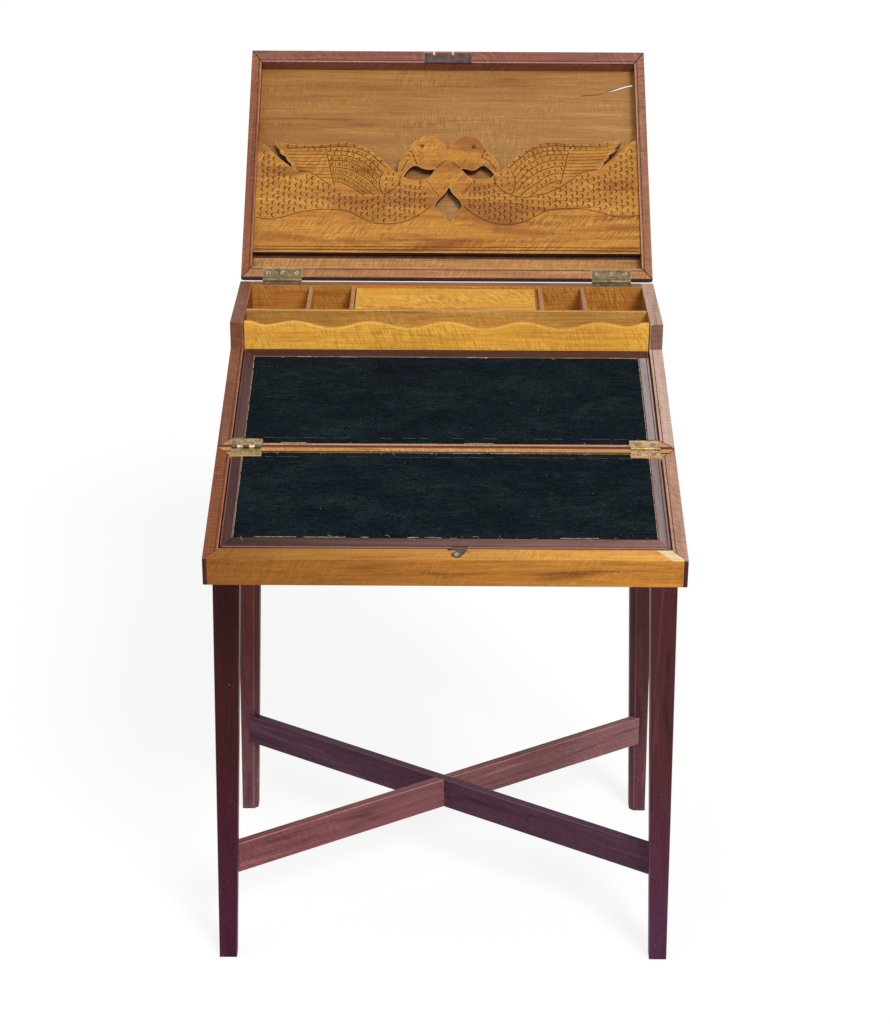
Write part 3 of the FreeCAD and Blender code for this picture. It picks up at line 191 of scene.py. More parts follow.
# Each timber: light, body and dark tone, and how strong its curl figure is
TIMBERS = {
    "satinwood": ((0.76, 0.38, 0.080), (0.55, 0.245, 0.045), (0.30, 0.11, 0.022), 0.8),
    "lid_satinwood": ((0.52, 0.275, 0.085), (0.38, 0.175, 0.052), (0.22, 0.082, 0.024), 0.4),
    "band_satinwood": ((0.66, 0.345, 0.118), (0.49, 0.240, 0.080), (0.285, 0.123, 0.041), 0.6),
    "carved_satinwood": ((0.74, 0.360, 0.070), (0.505, 0.222, 0.042), (0.27, 0.088, 0.023), 0.6),
    "bright_satinwood": ((0.97, 0.585, 0.105), (0.92, 0.445, 0.058), (0.58, 0.225, 0.028), 0.75),
    "cover_satinwood": ((0.95, 0.57, 0.110), (0.80, 0.39, 0.058), (0.46, 0.19, 0.029), 0.9),
    "trough_satinwood": ((0.75, 0.50, 0.130), (0.60, 0.322, 0.073), (0.33, 0.15, 0.036), 0.5),
    "well_satinwood": ((0.74, 0.345, 0.066), (0.53, 0.212, 0.039), (0.20, 0.065, 0.014), 0.6),
    "tray_satinwood": ((0.58, 0.26, 0.055), (0.42, 0.165, 0.032), (0.22, 0.075, 0.015), 0.6),
    "dusty_satinwood": ((0.42, 0.240, 0.125), (0.285, 0.145, 0.072), (0.16, 0.072, 0.036), 0.1),
    "dusky_satinwood": ((0.64, 0.36, 0.170), (0.47, 0.240, 0.110), (0.27, 0.120, 0.055), 0.4),
    "front_satinwood": ((0.60, 0.28, 0.054), (0.44, 0.182, 0.033), (0.22, 0.075, 0.015), 0.25),
    "face_satinwood": ((0.52, 0.215, 0.037), (0.35, 0.130, 0.023), (0.15, 0.048, 0.010), 0.22),
    "fold_satinwood": ((0.75, 0.44, 0.27), (0.52, 0.27, 0.150), (0.30, 0.13, 0.07), 0.5),
    "lip_satinwood": ((0.84, 0.48, 0.16), (0.55, 0.277, 0.086), (0.31, 0.128, 0.038), 0.6),
    "red_edge_wood": ((0.20, 0.060, 0.030), (0.125, 0.034, 0.017), (0.06, 0.016, 0.009), 0.4),
    "slope_edge_wood": ((0.31, 0.122, 0.060), (0.213, 0.075, 0.038), (0.11, 0.035, 0.019), 0.6),
    "warm_edge_wood": ((0.345, 0.120, 0.047), (0.238, 0.074, 0.029), (0.12, 0.034, 0.015), 0.6),
    "left_edge_wood": ((0.385, 0.152, 0.074), (0.265, 0.094, 0.045), (0.14, 0.045, 0.023), 0.55),
    "crown_edge_wood": ((0.38, 0.165, 0.12), (0.26, 0.102, 0.073), (0.14, 0.048, 0.036), 0.55),
    "rim_edge_wood": ((0.47, 0.228, 0.130), (0.325, 0.141, 0.080), (0.175, 0.066, 0.038), 0.5),
    "foot_edge_wood": ((0.58, 0.292, 0.126), (0.405, 0.182, 0.077), (0.216, 0.084, 0.037), 0.5),
    "faded_edge_wood": ((0.66, 0.40, 0.305), (0.50, 0.27, 0.185), (0.32, 0.143, 0.090), 0.4),
    "cheek_edge_wood": ((0.40, 0.21, 0.15), (0.28, 0.14, 0.10), (0.15, 0.068, 0.048), 0.5),
    "pale_edge_wood": ((0.78, 0.58, 0.49), (0.60, 0.405, 0.32), (0.38, 0.215, 0.155), 0.4),
    "mahogany": ((0.093, 0.0185, 0.0165), (0.046, 0.0076, 0.0087), (0.0168, 0.0031, 0.0041), 0.12),
    "warm_mahogany": ((0.168, 0.049, 0.044), (0.083, 0.0205, 0.0235), (0.030, 0.0080, 0.0113), 0.12),
    "red_mahogany": ((0.455, 0.190, 0.168), (0.235, 0.086, 0.087), (0.095, 0.034, 0.037), 0.15),
    "purple_mahogany": ((0.167, 0.0706, 0.111), (0.085, 0.031, 0.0567), (0.0346, 0.0126, 0.0246), 0.15),
    "lit_mahogany": ((0.33, 0.096, 0.078), (0.168, 0.043, 0.041), (0.067, 0.0173, 0.0174), 0.15),
    "shaded_mahogany": ((0.143, 0.049, 0.047), (0.073, 0.0218, 0.0245), (0.029, 0.0089, 0.0105), 0.15),
    "dark_border": ((0.176, 0.080, 0.070), (0.114, 0.047, 0.044), (0.058, 0.021, 0.021), 0.15),
    "deep_dark_border": ((0.108, 0.046, 0.033), (0.071, 0.028, 0.021), (0.037, 0.013, 0.010), 0.15),
    "dull_dark_border": ((0.124, 0.056, 0.049), (0.080, 0.033, 0.031), (0.041, 0.015, 0.015), 0.15),
    "grey_dark_border": ((0.32, 0.235, 0.24), (0.235, 0.169, 0.175), (0.14, 0.095, 0.098), 0.15),
    "pale_repair": ((0.97, 0.87, 0.57), (0.91, 0.69, 0.39), (0.68, 0.46, 0.22), 0.2),
    "end_grain": ((0.13, 0.040, 0.034), (0.075, 0.022, 0.020), (0.035, 0.010, 0.010), 0.0),
}
# How much lighter the eased edges of a timber are, for wear and a painted highlight
WEAR_AND_HIGHLIGHT = {
    "satinwood": (1.12, 1.10, 1.05),
    "edge_wood": (2.2, 2.7, 2.8),
    "trough_satinwood": (1.25, 1.35, 1.9),
    "bright_satinwood": (1.0, 1.22, 2.4),
    "pale_edge_wood": (1.3, 1.35, 1.2),
    "faded_edge_wood": (1.3, 1.35, 1.2),
    "mahogany": (2.1, 2.6, 2.4),
    "dark_border": (3.0, 3.6, 3.8),
}
# How far the curl figure leans on some boards
LEAN = {"bright_satinwood": 0.34, "cover_satinwood": -0.45, "carved_satinwood": 0.55, "band_satinwood": 0.3}
# How strongly wide dark bands show on some boards
BANDS = {"carved_satinwood": 0.75, "bright_satinwood": 0.38, "trough_satinwood": 0.5, "lid_satinwood": 0.3}
# How the legs turn lighter and bluer towards the floor
FLOOR_TINT = {
    "mahogany": (1.45, 1.4, 3.6),
    "warm_mahogany": (1.0, 1.15, 2.3),
    "lit_mahogany": (1.1, 1.7, 2.1),
    "shaded_mahogany": (1.8, 2.0, 2.2),
}
TINT_HEIGHTS = (0.28, 0.05)
# Noise in the wood: how often along and across the grain in a millimetre, then detail, roughness and twist
GROWTH = ((0.0045, 0.055, 0.055), 5.0, 0.62, 0.8)
STREAK = ((0.012, 0.45, 0.45), 4.0, 0.62, 0.3)
FIBRE = ((0.07, 2.0, 2.0), 3.0, 0.65)
PATCH = ((0.010, 0.022, 0.022), 3.0, 0.55)
CURL = ((0.60, 0.075, 0.075), 2.0, 0.5, 0.4)
PORES = ((0.24, 2.6, 2.6), 1.0)
BAND = ((0.006, 0.035, 0.035), 3.0, 0.55, 0.6)
SPECKS = ((0.30, 0.42, 0.42), 1.0)
SPECK_TONE = (0.36, 0.28, 0.26)
NO_EDGE_LIGHTENING = (1.0, 1.0, 1.0)
PAINTED_LIGHT_TONE = (0.83, 0.54, 0.25)
made_finishes = {}


def timber(kind, turn, seed=0, edge_wear_and_highlight=NO_EDGE_LIGHTENING, dirt_shade_and_light=None, drift=None, lightening=PAINTED_LIGHT_TONE):
    """Polished wood: growth streaks, fibres, pores, a broken curl; drift is its tone at left and right."""
    name = "_".join([kind, str(seed), *(str(round(math.degrees(a))) for a in turn)])
    name = name.replace("-", "m") + ("_worn" if edge_wear_and_highlight != NO_EDGE_LIGHTENING else "") + ("_cut" if dirt_shade_and_light else "")
    if name in made_finishes:
        return made_finishes[name]
    *tones, figure = TIMBERS[kind]
    # Edge finishes are lighter by the factors above: wear and a painted highlight
    light, body, dark = (tuple(min(0.95, a * b) for a, b in zip(tone, edge_wear_and_highlight)) for tone in tones)
    finish, tree, shader, place = new_finish(name)
    shift = (seed * 137.0 % 911.0, seed * 71.0 % 523.0, seed * 53.0 % 389.0)
    settings = {"Vector": place, "Rotation": turn, "Scale": (1000.0,) * 3, "Location": shift}
    grain = put(tree, "ShaderNodeMapping", settings).outputs[0]
    slant = LEAN.get(kind, 0.5 * math.sin(seed * 2.3))
    leaning = put(tree, "ShaderNodeMapping", {"Vector": grain, "Rotation": (0.0, slant, slant)}).outputs[0]
    growth, streak, fibre = (cloud(tree, grain, *noise) for noise in (GROWTH, STREAK, FIBRE))
    patch, pores = (cloud(tree, grain, *noise) for noise in (PATCH, PORES))
    curl = cloud(tree, leaning, *CURL)
    colour = stops(tree, growth, ((0.30, dark), (0.46, body), (0.58, body), (0.74, light)))
    patchy = ranged(tree, patch, 0.34, 0.58)
    bright = product(tree, product(tree, ranged(tree, curl, 0.51, 0.59), patchy), figure)
    shade = product(tree, product(tree, ranged(tree, curl, 0.49, 0.41), patchy), figure * 0.75)
    colour = mixed(tree, bright, colour, light)
    colour = mixed(tree, shade, colour, dark)
    if kind in BANDS:
        toothed = mixed(tree, 0.35, cloud(tree, grain, *BAND), curl)
        colour = mixed(tree, ranged(tree, toothed, 0.515, 0.57, 0.0, BANDS[kind]), colour, dark)
    thread = ranged(tree, fibre, 0.3, 0.7, 0.86, 1.12)
    thread = product(tree, thread, ranged(tree, streak, 0.3, 0.7, 0.80, 1.16))
    colour = toned(tree, colour, thread, thread, thread)
    dark_pore = product(tree, ranged(tree, pores, 0.63, 0.72), 0.6)
    colour = mixed(tree, dark_pore, colour, tuple(a * 0.45 for a in dark))
    if kind.endswith("mahogany"):
        specks = cloud(tree, grain, *SPECKS)
        colour = mixed(tree, ranged(tree, specks, 0.765, 0.795, 0.0, 0.5), colour, SPECK_TONE)
    if kind in FLOOR_TINT:
        tinged = mixed(tree, 1.0, colour, FLOOR_TINT[kind], "MULTIPLY")
        colour = mixed(tree, ranged(tree, along(tree, place, "Z"), *TINT_HEIGHTS), colour, tinged)
    if drift:
        apart, half = along(tree, place, "X"), HALF_WIDE * MM
        tones = [ranged(tree, apart, -half, half, left, right) for left, right in zip(*drift)]
        colour = toned(tree, colour, *tones)
    # Where the cut attribute is positive the wood darkens, for dirt and painted shade; where it is negative
    # it lightens towards a painted light tone
    if dirt_shade_and_light:
        dirt_shade_and_light_amount = put(tree, "ShaderNodeAttribute", attribute_name=dirt_shade_and_light).outputs["Fac"]
        colour = mixed(tree, dirt_shade_and_light_amount, colour, tuple(a * 0.14 for a in dark))
        colour = mixed(tree, ranged(tree, dirt_shade_and_light_amount, 0.0, -1.0, 0.0, 0.75), colour, lightening)
    rough = ranged(tree, fibre, 0.3, 0.7, 0.50, 0.38)
    feed(tree, shader, {"Base Color": colour, "Roughness": rough, "Specular IOR Level": 0.12})
    roughen(tree, shader, mixed(tree, 0.5, fibre, pores), 0.15, 0.0003)
    made_finishes[name] = finish
    return finish


def matt_finish(name, often, detail, marks, rough):
    """Two tones in soft patches, without a shine."""
    finish, tree, shader, place = new_finish(name)
    colour = stops(tree, cloud(tree, place, (often,) * 3, detail), marks)
    feed(tree, shader, {"Base Color": colour, "Roughness": rough})
    return finish


def baize_cloth():
    """Near-black blue-green felted wool: nap, rubbed patches, pale lint."""
    finish, tree, shader, place = new_finish("worn_baize")
    lightening = cloud(tree, place, (15.0, 34.0, 34.0), 7.0, 0.72, 0.3)
    nap = cloud(tree, place, (330.0, 460.0, 460.0), 4.0, 0.7)
    weave = cloud(tree, place, (60.0, 620.0, 620.0), 4.0, 0.7)
    lint = cloud(tree, place, (330.0, 430.0, 430.0), 1.0)
    worn_tones = (
        (0.30, (0.0047, 0.0074, 0.0106)),
        (0.50, (0.0080, 0.0128, 0.0165)),
        (0.72, (0.0145, 0.0250, 0.0280)),
    )
    colour = stops(tree, lightening, worn_tones)
    tuft = ranged(tree, nap, 0.3, 0.7, 0.3, 1.8)
    tuft = product(tree, tuft, ranged(tree, weave, 0.3, 0.7, 0.4, 1.6))
    tuft = product(tree, tuft, 0.91)
    colour = toned(tree, colour, tuft, tuft, tuft)
    colour = mixed(tree, ranged(tree, lint, 0.765, 0.80, 0.0, 0.6), colour, (0.15, 0.17, 0.14))
    feed(tree, shader, {"Base Color": colour, "Roughness": 1.0, "Specular IOR Level": 0.03})
    roughen(tree, shader, mixed(tree, 0.5, nap, weave), 0.6, 0.0005)
    return finish


def aged_metal(name, clean, tarnish, deep, rough):
    """Metal with a stain, dark spots and fine scratches."""
    finish, tree, shader, place = new_finish(name)
    stain = cloud(tree, place, (110.0,) * 3, 5.0, 0.62, 0.4)
    scratch = cloud(tree, place, (90.0, 2400.0, 2400.0), 2.0)
    spots = cloud(tree, place, (420.0,) * 3, 3.0)
    colour = stops(tree, stain, ((0.36, tarnish), (0.54, clean), (0.72, tuple(a * 1.25 for a in clean))))
    colour = mixed(tree, ranged(tree, spots, 0.56, 0.72, 0.0, 0.8), colour, deep)
    dull = ranged(tree, stain, 0.3, 0.7, rough + 0.14, rough - 0.06)
    feed(tree, shader, {"Base Color": colour, "Roughness": dull, "Metallic": 0.8})
    roughen(tree, shader, scratch, 0.12, 0.0002)
    return finish


GRIME_AND_SHADE_TONES = ((0.3, (0.045, 0.018, 0.012)), (0.7, (0.11, 0.042, 0.024)))
THREAD_TONES = ((0.35, (0.28, 0.23, 0.12)), (0.65, (0.66, 0.57, 0.36)))
CREASE_TONES = ((0.35, (0.035, 0.042, 0.036)), (0.65, (0.10, 0.11, 0.085)))
# One dark finish for grime in beads and joints and for painted shade: under the lid's rear rim, in the slot
# below the rack, at the ends of the tray front, in screw slots and round screw heads
GRIME_AND_SHADE_FINISH = matt_finish("grime_in_the_bead", 90.0, 3.0, GRIME_AND_SHADE_TONES, 0.8)
BAIZE = baize_cloth()
THREAD = matt_finish("frayed_thread", 260.0, 2.0, THREAD_TONES, 0.9)
CREASE = matt_finish("rubbed_crease", 260.0, 2.0, CREASE_TONES, 0.9)
BRASS = aged_metal("aged_brass", (0.202, 0.147, 0.074), (0.101, 0.072, 0.039), (0.039, 0.031, 0.021), 0.42)
FOLD_BRASS = aged_metal(
    "handled_brass", (0.40, 0.285, 0.120), (0.21, 0.145, 0.065), (0.06, 0.045, 0.026), 0.40
)
PALE_BRASS = aged_metal("pale_brass", (0.62, 0.41, 0.205), (0.36, 0.235, 0.115), (0.12, 0.08, 0.05), 0.42)
DARK_BRASS = aged_metal(
    "tarnished_brass", (0.121, 0.080, 0.071), (0.063, 0.042, 0.046), (0.03, 0.022, 0.02), 0.45
)
# Brightest brass: the knuckles of the front fold leaves, and a painted highlight on the lock plate's eyes
BRIGHT_BRASS = aged_metal("brightest_brass", (0.80, 0.66, 0.36), (0.5, 0.38, 0.19), (0.2, 0.14, 0.07), 0.3)
SCREW_BRASS = aged_metal("screw_brass", (0.46, 0.39, 0.27), (0.22, 0.17, 0.11), (0.06, 0.045, 0.035), 0.34)
STEEL = aged_metal("dull_steel", (0.32, 0.30, 0.28), (0.14, 0.11, 0.09), (0.06, 0.035, 0.02), 0.45)


# Pieces; a board has its wood, its eased edges, lighter for wear and a painted highlight, and lines of grime
# and painted shade, then finishes that its changes bring
PLAIN, WORN_AND_HIGHLIT, GRIME_AND_SHADE = range(3)
FACING = 0.9
SAME_PLANE = 0.99
SHARP = 0.5
BEAD_WIDE, BEAD_DEEP = 0.9, 0.7
JOINT_WIDE = 1.1
OUTER_FACE = 249.0
END_GAP = 1.4


def add_object(name, data):
    made = bpy.data.objects.new(name, data)
    bpy.context.scene.collection.objects.link(made)
    return made


def show(name, mesh, finishes, body, stands_for=()):
    for finish in finishes:
        mesh.materials.append(finish)
    piece = add_object(name, mesh)
    if body:
        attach(piece, body)
    if stands_for:
        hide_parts(*stands_for)
    return piece


def bare_copy(node):
    """A merged copy of a CAD node, its flat faces joined up again."""
    work = bmesh.new()
    work.from_mesh(nodes[node].data)
    bmesh.ops.remove_doubles(work, verts=work.verts, dist=2e-6)
    bmesh.ops.dissolve_limit(work, angle_limit=0.008, verts=work.verts, edges=work.edges)
    for face in work.faces:
        face.material_index = PLAIN
        face.smooth = False
    return work


def ease_edges(work, width, shortest):
    """Rub the long outer edges round, as years of handling do; the rounded faces take a lighter finish, for
    wear and a painted highlight.
    """
    sharp = []
    for edge in work.edges:
        if len(edge.link_faces) == 2 and edge.is_convex and edge.calc_length() > shortest * MM:
            if edge.calc_face_angle() > SHARP:
                sharp.append(edge)
    bmesh.ops.bevel(
        work, geom=sharp, offset=width * MM, offset_type="OFFSET", segments=2, profile=0.5, affect="EDGES",
        clamp_overlap=shortest < 1.0, material=WORN_AND_HIGHLIT
    )
    work.normal_update()


def split_along(work, at, across):
    parts = work.verts[:] + work.edges[:] + work.faces[:]
    bmesh.ops.bisect_plane(work, geom=parts, plane_co=at, plane_no=across, dist=1e-7)
    work.normal_update()


def split_both_ends(work, x):
    """Split a piece at the same distance to the left and right of its middle."""
    for at in (-x, x):
        split_along(work, Vector((at, 0.0, 0.0)), ACROSS)


def paint(work, finish, test):
    """Give a finish to the faces that pass a test of the face and its middle."""
    for face in work.faces:
        if test(face, face.calc_center_median()):
            face.material_index = finish


def facing(face, out):
    return face.normal.dot(out) > FACING


def scratch_bead(work, at, across, out):
    """A scratched line that sets off a bead along the edge of a board."""
    at, across = Vector(at), across.normalized()
    for step in (-BEAD_WIDE / 2, 0.0, BEAD_WIDE / 2):
        split_along(work, at + across * step * MM, across)
    sunk = []
    for vert in work.verts:
        on_line = abs((vert.co - at).dot(across)) < 1e-6
        if on_line and any(f.normal.dot(out) > SAME_PLANE for f in vert.link_faces):
            sunk.append(vert)

    def in_scratch(face, middle):
        close = abs((middle - at).dot(across)) < BEAD_WIDE / 2 * MM
        return close and face.normal.dot(out) > SAME_PLANE

    paint(work, GRIME_AND_SHADE, in_scratch)
    for vert in sunk:
        vert.co -= out * BEAD_DEEP * MM
    work.normal_update()


def finished_mesh(name, work, smooth=0.0):
    mesh = bpy.data.meshes.new(name)
    work.to_mesh(mesh)
    work.free()
    for spare in ("custom_normal", "sharp_face"):
        if spare in mesh.attributes:
            mesh.attributes.remove(mesh.attributes[spare])
    while mesh.uv_layers:
        mesh.uv_layers.remove(mesh.uv_layers[0])
    if smooth:
        mesh.shade_smooth()
        mesh.set_sharp_from_angle(angle=smooth)
    else:
        mesh.shade_flat()
    return mesh


def slot_of(kind):
    return next(slot for slot in ("satinwood", "edge_wood", "mahogany", "dark_border") if kind.endswith(slot))


def board(node, kind, turn, seed, ease=0.5, shortest=9.0, extra=(), drift=None):
    """A polished copy of a node; each extra change cuts or paints it and may bring finishes of its own."""
    work = bare_copy(node)
    ease_edges(work, ease, shortest)
    slot = slot_of(kind)
    edge_wear_and_highlight = WEAR_AND_HIGHLIGHT.get(kind, WEAR_AND_HIGHLIGHT[slot])
    finishes = [timber(kind, turn, seed, drift=drift), timber(kind, turn, 0, edge_wear_and_highlight), GRIME_AND_SHADE_FINISH]
    for change in extra:
        finishes += change(work, len(finishes)) or []
    mesh = finished_mesh(node + "_polished", work)
    show(node + "_polished", mesh, finishes, nodes[node]["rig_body"], (node,))


def bead_along(at, across, out):
    return lambda work, spare: scratch_bead(work, at, across, out)


def joint_plane(place, near, far):
    """The plane of a joint drawn from near to far on a frame, standing square to the frame."""
    start, end = place @ Vector((*near, 0.0)), place @ Vector((*far, 0.0))
    return start, (end - start).cross(place.to_3x3().col[2]).normalized()


def both_sides(place, near, far):
    return [joint_plane(place, (sign * near[0], near[1]), (sign * far[0], far[1])) for sign in (-1, 1)]


def dark_joints(*planes):
    """Eased edges along a joint have filled with dirt and wax."""
    def in_joint(face, middle):
        close = any(abs((middle - at).dot(across)) < JOINT_WIDE * MM for at, across in planes)
        return close and face.material_index == WORN_AND_HIGHLIT

    return lambda work, spare: paint(work, GRIME_AND_SHADE, in_joint)


def plain_outside(limit):
    """Only the inner edges of a side stay lighter, rubbed bright by hands and papers and given a painted
    highlight.
    """
    def outer_edge(face, middle):
        return face.material_index == WORN_AND_HIGHLIT and abs(middle.x) > limit * MM

    return lambda work, spare: paint(work, PLAIN, outer_edge)


def fold_band(near, far, kind):
    """A stripe of another tone on top of a hinge wall, between two lines beside the fold."""
    def in_band(face, middle):
        return facing(face, SLOPE_OUT) and near < (SLOPED.inverted() @ middle).y < far

    def cut(work, spare):
        for y in (near, far):
            split_along(work, SLOPED @ Vector((0.0, y, 0.0)), SLOPE_RISE)
        paint(work, spare, in_band)
        return [timber(kind, GRAIN_ACROSS, 49)]

    return cut


def polished_outside(work, spare):
    """The upright face at the fold becomes the front of the box when it is shut."""
    def at_fold(face, middle):
        return abs(face.normal.y) > FACING and abs(middle.y - FOLD_PLACE) < 1.0 * MM

    paint(work, spare, at_fold)
    return [timber("front_satinwood", GRAIN_ACROSS, 52)]


def dusty_top(work, spare):
    """Dust lies on the narrow top edge of the back."""
    paint(work, spare, lambda face, middle: facing(face, UPWARD) and middle.z > (RIM_HIGH - 1.0) * MM)
    return [timber("dusty_satinwood", GRAIN_ACROSS, 48)]


def unfaded_outside(work, spare):
    """The outer face of a side board shows the plain side wood, without the painted sheen on the tops of the
    right sides.
    """
    def outside(face, middle):
        outer = abs(face.normal.x) > 0.5 and abs(middle.x) > OUTER_FACE * MM
        return outer and face.material_index < GRIME_AND_SHADE

    paint(work, spare, outside)
    return [timber("slope_edge_wood", GRAIN_SLOPE, 50)]


def brown_cheek(work, spare):
    """Beside the tray the right side is brown on its upright faces; its painted sheen is duller on its level
    top.
    """
    for face in work.faces:
        if facing(face, UPWARD) and face.normal.dot(SLOPE_OUT) < SAME_PLANE:
            face.material_index = spare + 1
        elif face.material_index == PLAIN and face.normal.dot(SLOPE_OUT) < FACING:
            face.material_index = spare
    dull = (0.86, 0.80, 0.76)
    brown = timber("cheek_edge_wood", GRAIN_UP, 55)
    return [brown, timber("pale_edge_wood", GRAIN_DEEP, 56, drift=(dull, dull))]


def dark_ends(work, spare):
    """A painted shadow of the gap shows at both ends of a board that stands between the sides."""
    limit = max(vert.co.x for vert in work.verts) - END_GAP * MM
    split_both_ends(work, limit)
    paint(work, GRIME_AND_SHADE, lambda face, middle: abs(middle.x) > limit)


SIDES = (("left", -1), ("right", 1))
FOLD_PLACE = (SLOPED @ Vector((0.0, 0.0, 0.0))).y
WALL_BEAD, RIM_BEAD, BORDER_BEAD = 238.0, 240.6, 230.2
HANDLED_TO, RIM_HANDLED_TO = 240.0, 243.0
FOLD_JOINT = [joint_plane(SLOPED, (-10.0, 0.0), (10.0, 0.0))]
REAR_MITRES = both_sides(LEVEL, (HALF_WIDE, 189.25), (235.0, 204.25))
FRONT_MITRES = both_sides(LEVEL, (HALF_WIDE, 188.75), (235.0, 174.98))
RAIL_MITRES = both_sides(LEVEL, (HALF_WIDE, 0.0), (235.0, 15.0))
RIM_MITRES = [
    *both_sides(LID, (HALF_WIDE, 4.0), (237.5, 19.0)),
    *both_sides(LID, (HALF_WIDE, 343.0), (237.5, 325.5)),
]

# Stand
LEG_WOOD = {
    "front_left": "mahogany",
    "front_right": "warm_mahogany",
    "rear_left": "lit_mahogany",
    "rear_right": "shaded_mahogany",
}
RAIL_GRAIN = {"front": GRAIN_ACROSS, "rear": GRAIN_ACROSS, "left": GRAIN_DEEP, "right": GRAIN_DEEP}
for seed, (leg, kind) in enumerate(LEG_WOOD.items(), 1):
    board("leg_" + leg, kind, GRAIN_UP, seed, 0.7)
for seed, (rail, turn) in enumerate(RAIL_GRAIN.items(), 5):
    board("stand_rail_" + rail, "mahogany", turn, seed)
board("stretcher_one", "red_mahogany", (0.0, 0.0, -BAR_TURN), 9, 0.8,
      drift=((0.95, 0.82, 0.85), (1.15, 1.35, 1.45)))
board("stretcher_two", "purple_mahogany", (0.0, 0.0, BAR_TURN), 10, 0.8)

# Rear section; its right side and that of the front are pale on top with a painted sheen
REAR_WOOD = {"left": "slope_edge_wood", "right": "pale_edge_wood"}
FRONT_WOOD = {"left": "warm_edge_wood", "right": "faded_edge_wood"}
board("rear_base", "tray_satinwood", GRAIN_ACROSS, 11)
board("rear_back", "well_satinwood", GRAIN_ACROSS, 12, extra=(dusty_top,))
for side, sign in SIDES:
    bead = bead_along((sign * WALL_BEAD * MM, 0.0, 0.0), ACROSS, SLOPE_OUT)
    joints = dark_joints(*REAR_MITRES, *FOLD_JOINT)
    changes = [bead, joints, plain_outside(HANDLED_TO), unfaded_outside]
    if side == "right":
        changes.append(brown_cheek)
    board("rear_side_" + side, REAR_WOOD[side], GRAIN_SLOPE, 13 + sign, 0.8, extra=changes)
# The rear hinge wall's pale pinkish top is partly wood tone and partly a painted highlight on its rounded
# edge
changes = (fold_band(0.2, 4.2, "red_edge_wood"), polished_outside, dark_joints(*REAR_MITRES, *FOLD_JOINT))
board("rear_hinge_wall", "fold_satinwood", GRAIN_ACROSS, 15, extra=changes)
board("rear_ledgers", "tray_satinwood", GRAIN_SLOPE, 16)
board("tray_front", "bright_satinwood", GRAIN_ACROSS, 17, 0.6, 0.3, (dark_ends,))
board("tray_floor", "well_satinwood", GRAIN_OBLIQUE, 18)
board("trough_floor", "trough_satinwood", GRAIN_ACROSS, 19)
board("tray_partition", "trough_satinwood", GRAIN_ACROSS, 20, 0.6)
board("tray_dividers", "dusky_satinwood", GRAIN_DEEP, 21, 0.6)
board("cover_ledges", "satinwood", GRAIN_DEEP, 22)
board("pen_cover", "cover_satinwood", GRAIN_ACROSS, 23)

# Front section; its side boards lap the front corners
LAP, LAP_DEEP = 245.4, 7.0
FACE_DRIFT = ((0.83, 0.80, 0.76), (1.82, 1.98, 1.76))
RAIL_DRIFT = ((0.62, 0.56, 0.52), (1.95, 2.25, 2.5))
WEDGE_NEAR, WEDGE_FAR = (218.0, -177.0, 0.0), (233.0, -193.5, 0.0)


def lapped_corner(work, spare):
    """At the front corner the side board runs on past the mitre, so no joint shows there."""
    def in_lap(face, middle):
        x, y, _ = LEVEL.inverted() @ middle
        return face.material_index == GRIME_AND_SHADE and abs(x) > LAP and y < LAP_DEEP

    split_both_ends(work, LAP * MM)
    paint(work, PLAIN, in_lap)


def front_face(work, spare):
    """The face is darker than the top; the side boards lap both corners and show dark end grain."""
    split_both_ends(work, LAP * MM)
    for face in work.faces:
        middle = face.calc_center_median()
        at_end = abs(middle.x) > LAP * MM
        if facing(face, FORWARD):
            face.material_index = spare + 1 if at_end else spare
        elif at_end and face.normal.z > 0.5:
            face.material_index = spare + 2 if middle.x < 0 else spare + 3
    face_wood = timber("face_satinwood", GRAIN_ACROSS, 46, drift=FACE_DRIFT)
    laps = [timber(FRONT_WOOD["left"], GRAIN_SLOPE, 26), timber(FRONT_WOOD["right"], GRAIN_SLOPE, 28)]
    return [face_wood, timber("end_grain", GRAIN_UP, 31), *laps]


def corner_repair(work, spare):
    """A pale wedge let into the right end of the front rail, beside the mitre."""
    near, far = SLOPED @ Vector(WEDGE_NEAR), SLOPED @ Vector(WEDGE_FAR)
    across = (far - near).cross(SLOPE_OUT).normalized()

    def in_wedge(face, middle):
        on_top = facing(face, SLOPE_OUT) and near.x < middle.x < LAP * MM
        return on_top and (middle - near).dot(across) < 0

    split_along(work, near, across)
    paint(work, spare, in_wedge)
    return [timber("pale_repair", GRAIN_ACROSS, 32)]


board("front_bottom", "tray_satinwood", GRAIN_ACROSS, 24)
changes = (front_face, corner_repair, dark_joints(*RAIL_MITRES))
board("front_rail", "front_satinwood", GRAIN_ACROSS, 25, 0.7, extra=changes, drift=RAIL_DRIFT)
for side, sign in SIDES:
    bead = bead_along((sign * WALL_BEAD * MM, 0.0, 0.0), ACROSS, SLOPE_OUT)
    joints = dark_joints(*FRONT_MITRES, *RAIL_MITRES, *FOLD_JOINT)
    changes = (bead, joints, lapped_corner, plain_outside(HANDLED_TO), unfaded_outside)
    board("front_side_" + side, FRONT_WOOD[side], GRAIN_SLOPE, 27 + sign, 0.8, extra=changes)
# On the front hinge wall the dark stripe next to the cloth is a painted shadow under the wood's lip
changes = (fold_band(-9.0, -6.6, "end_grain"), polished_outside, dark_joints(*FRONT_MITRES, *FOLD_JOINT))
board("front_hinge_wall", "lip_satinwood", GRAIN_ACROSS, 29, extra=changes)
board("front_ledgers", "tray_satinwood", GRAIN_SLOPE, 30)

# Flaps
CREASE_EDGE = 17.6
STRIP_INNER, STRIP_OUTER, STRIP_NEAR = 221.5, 233.0, 218.0
MITRE_DEEP = 15.5


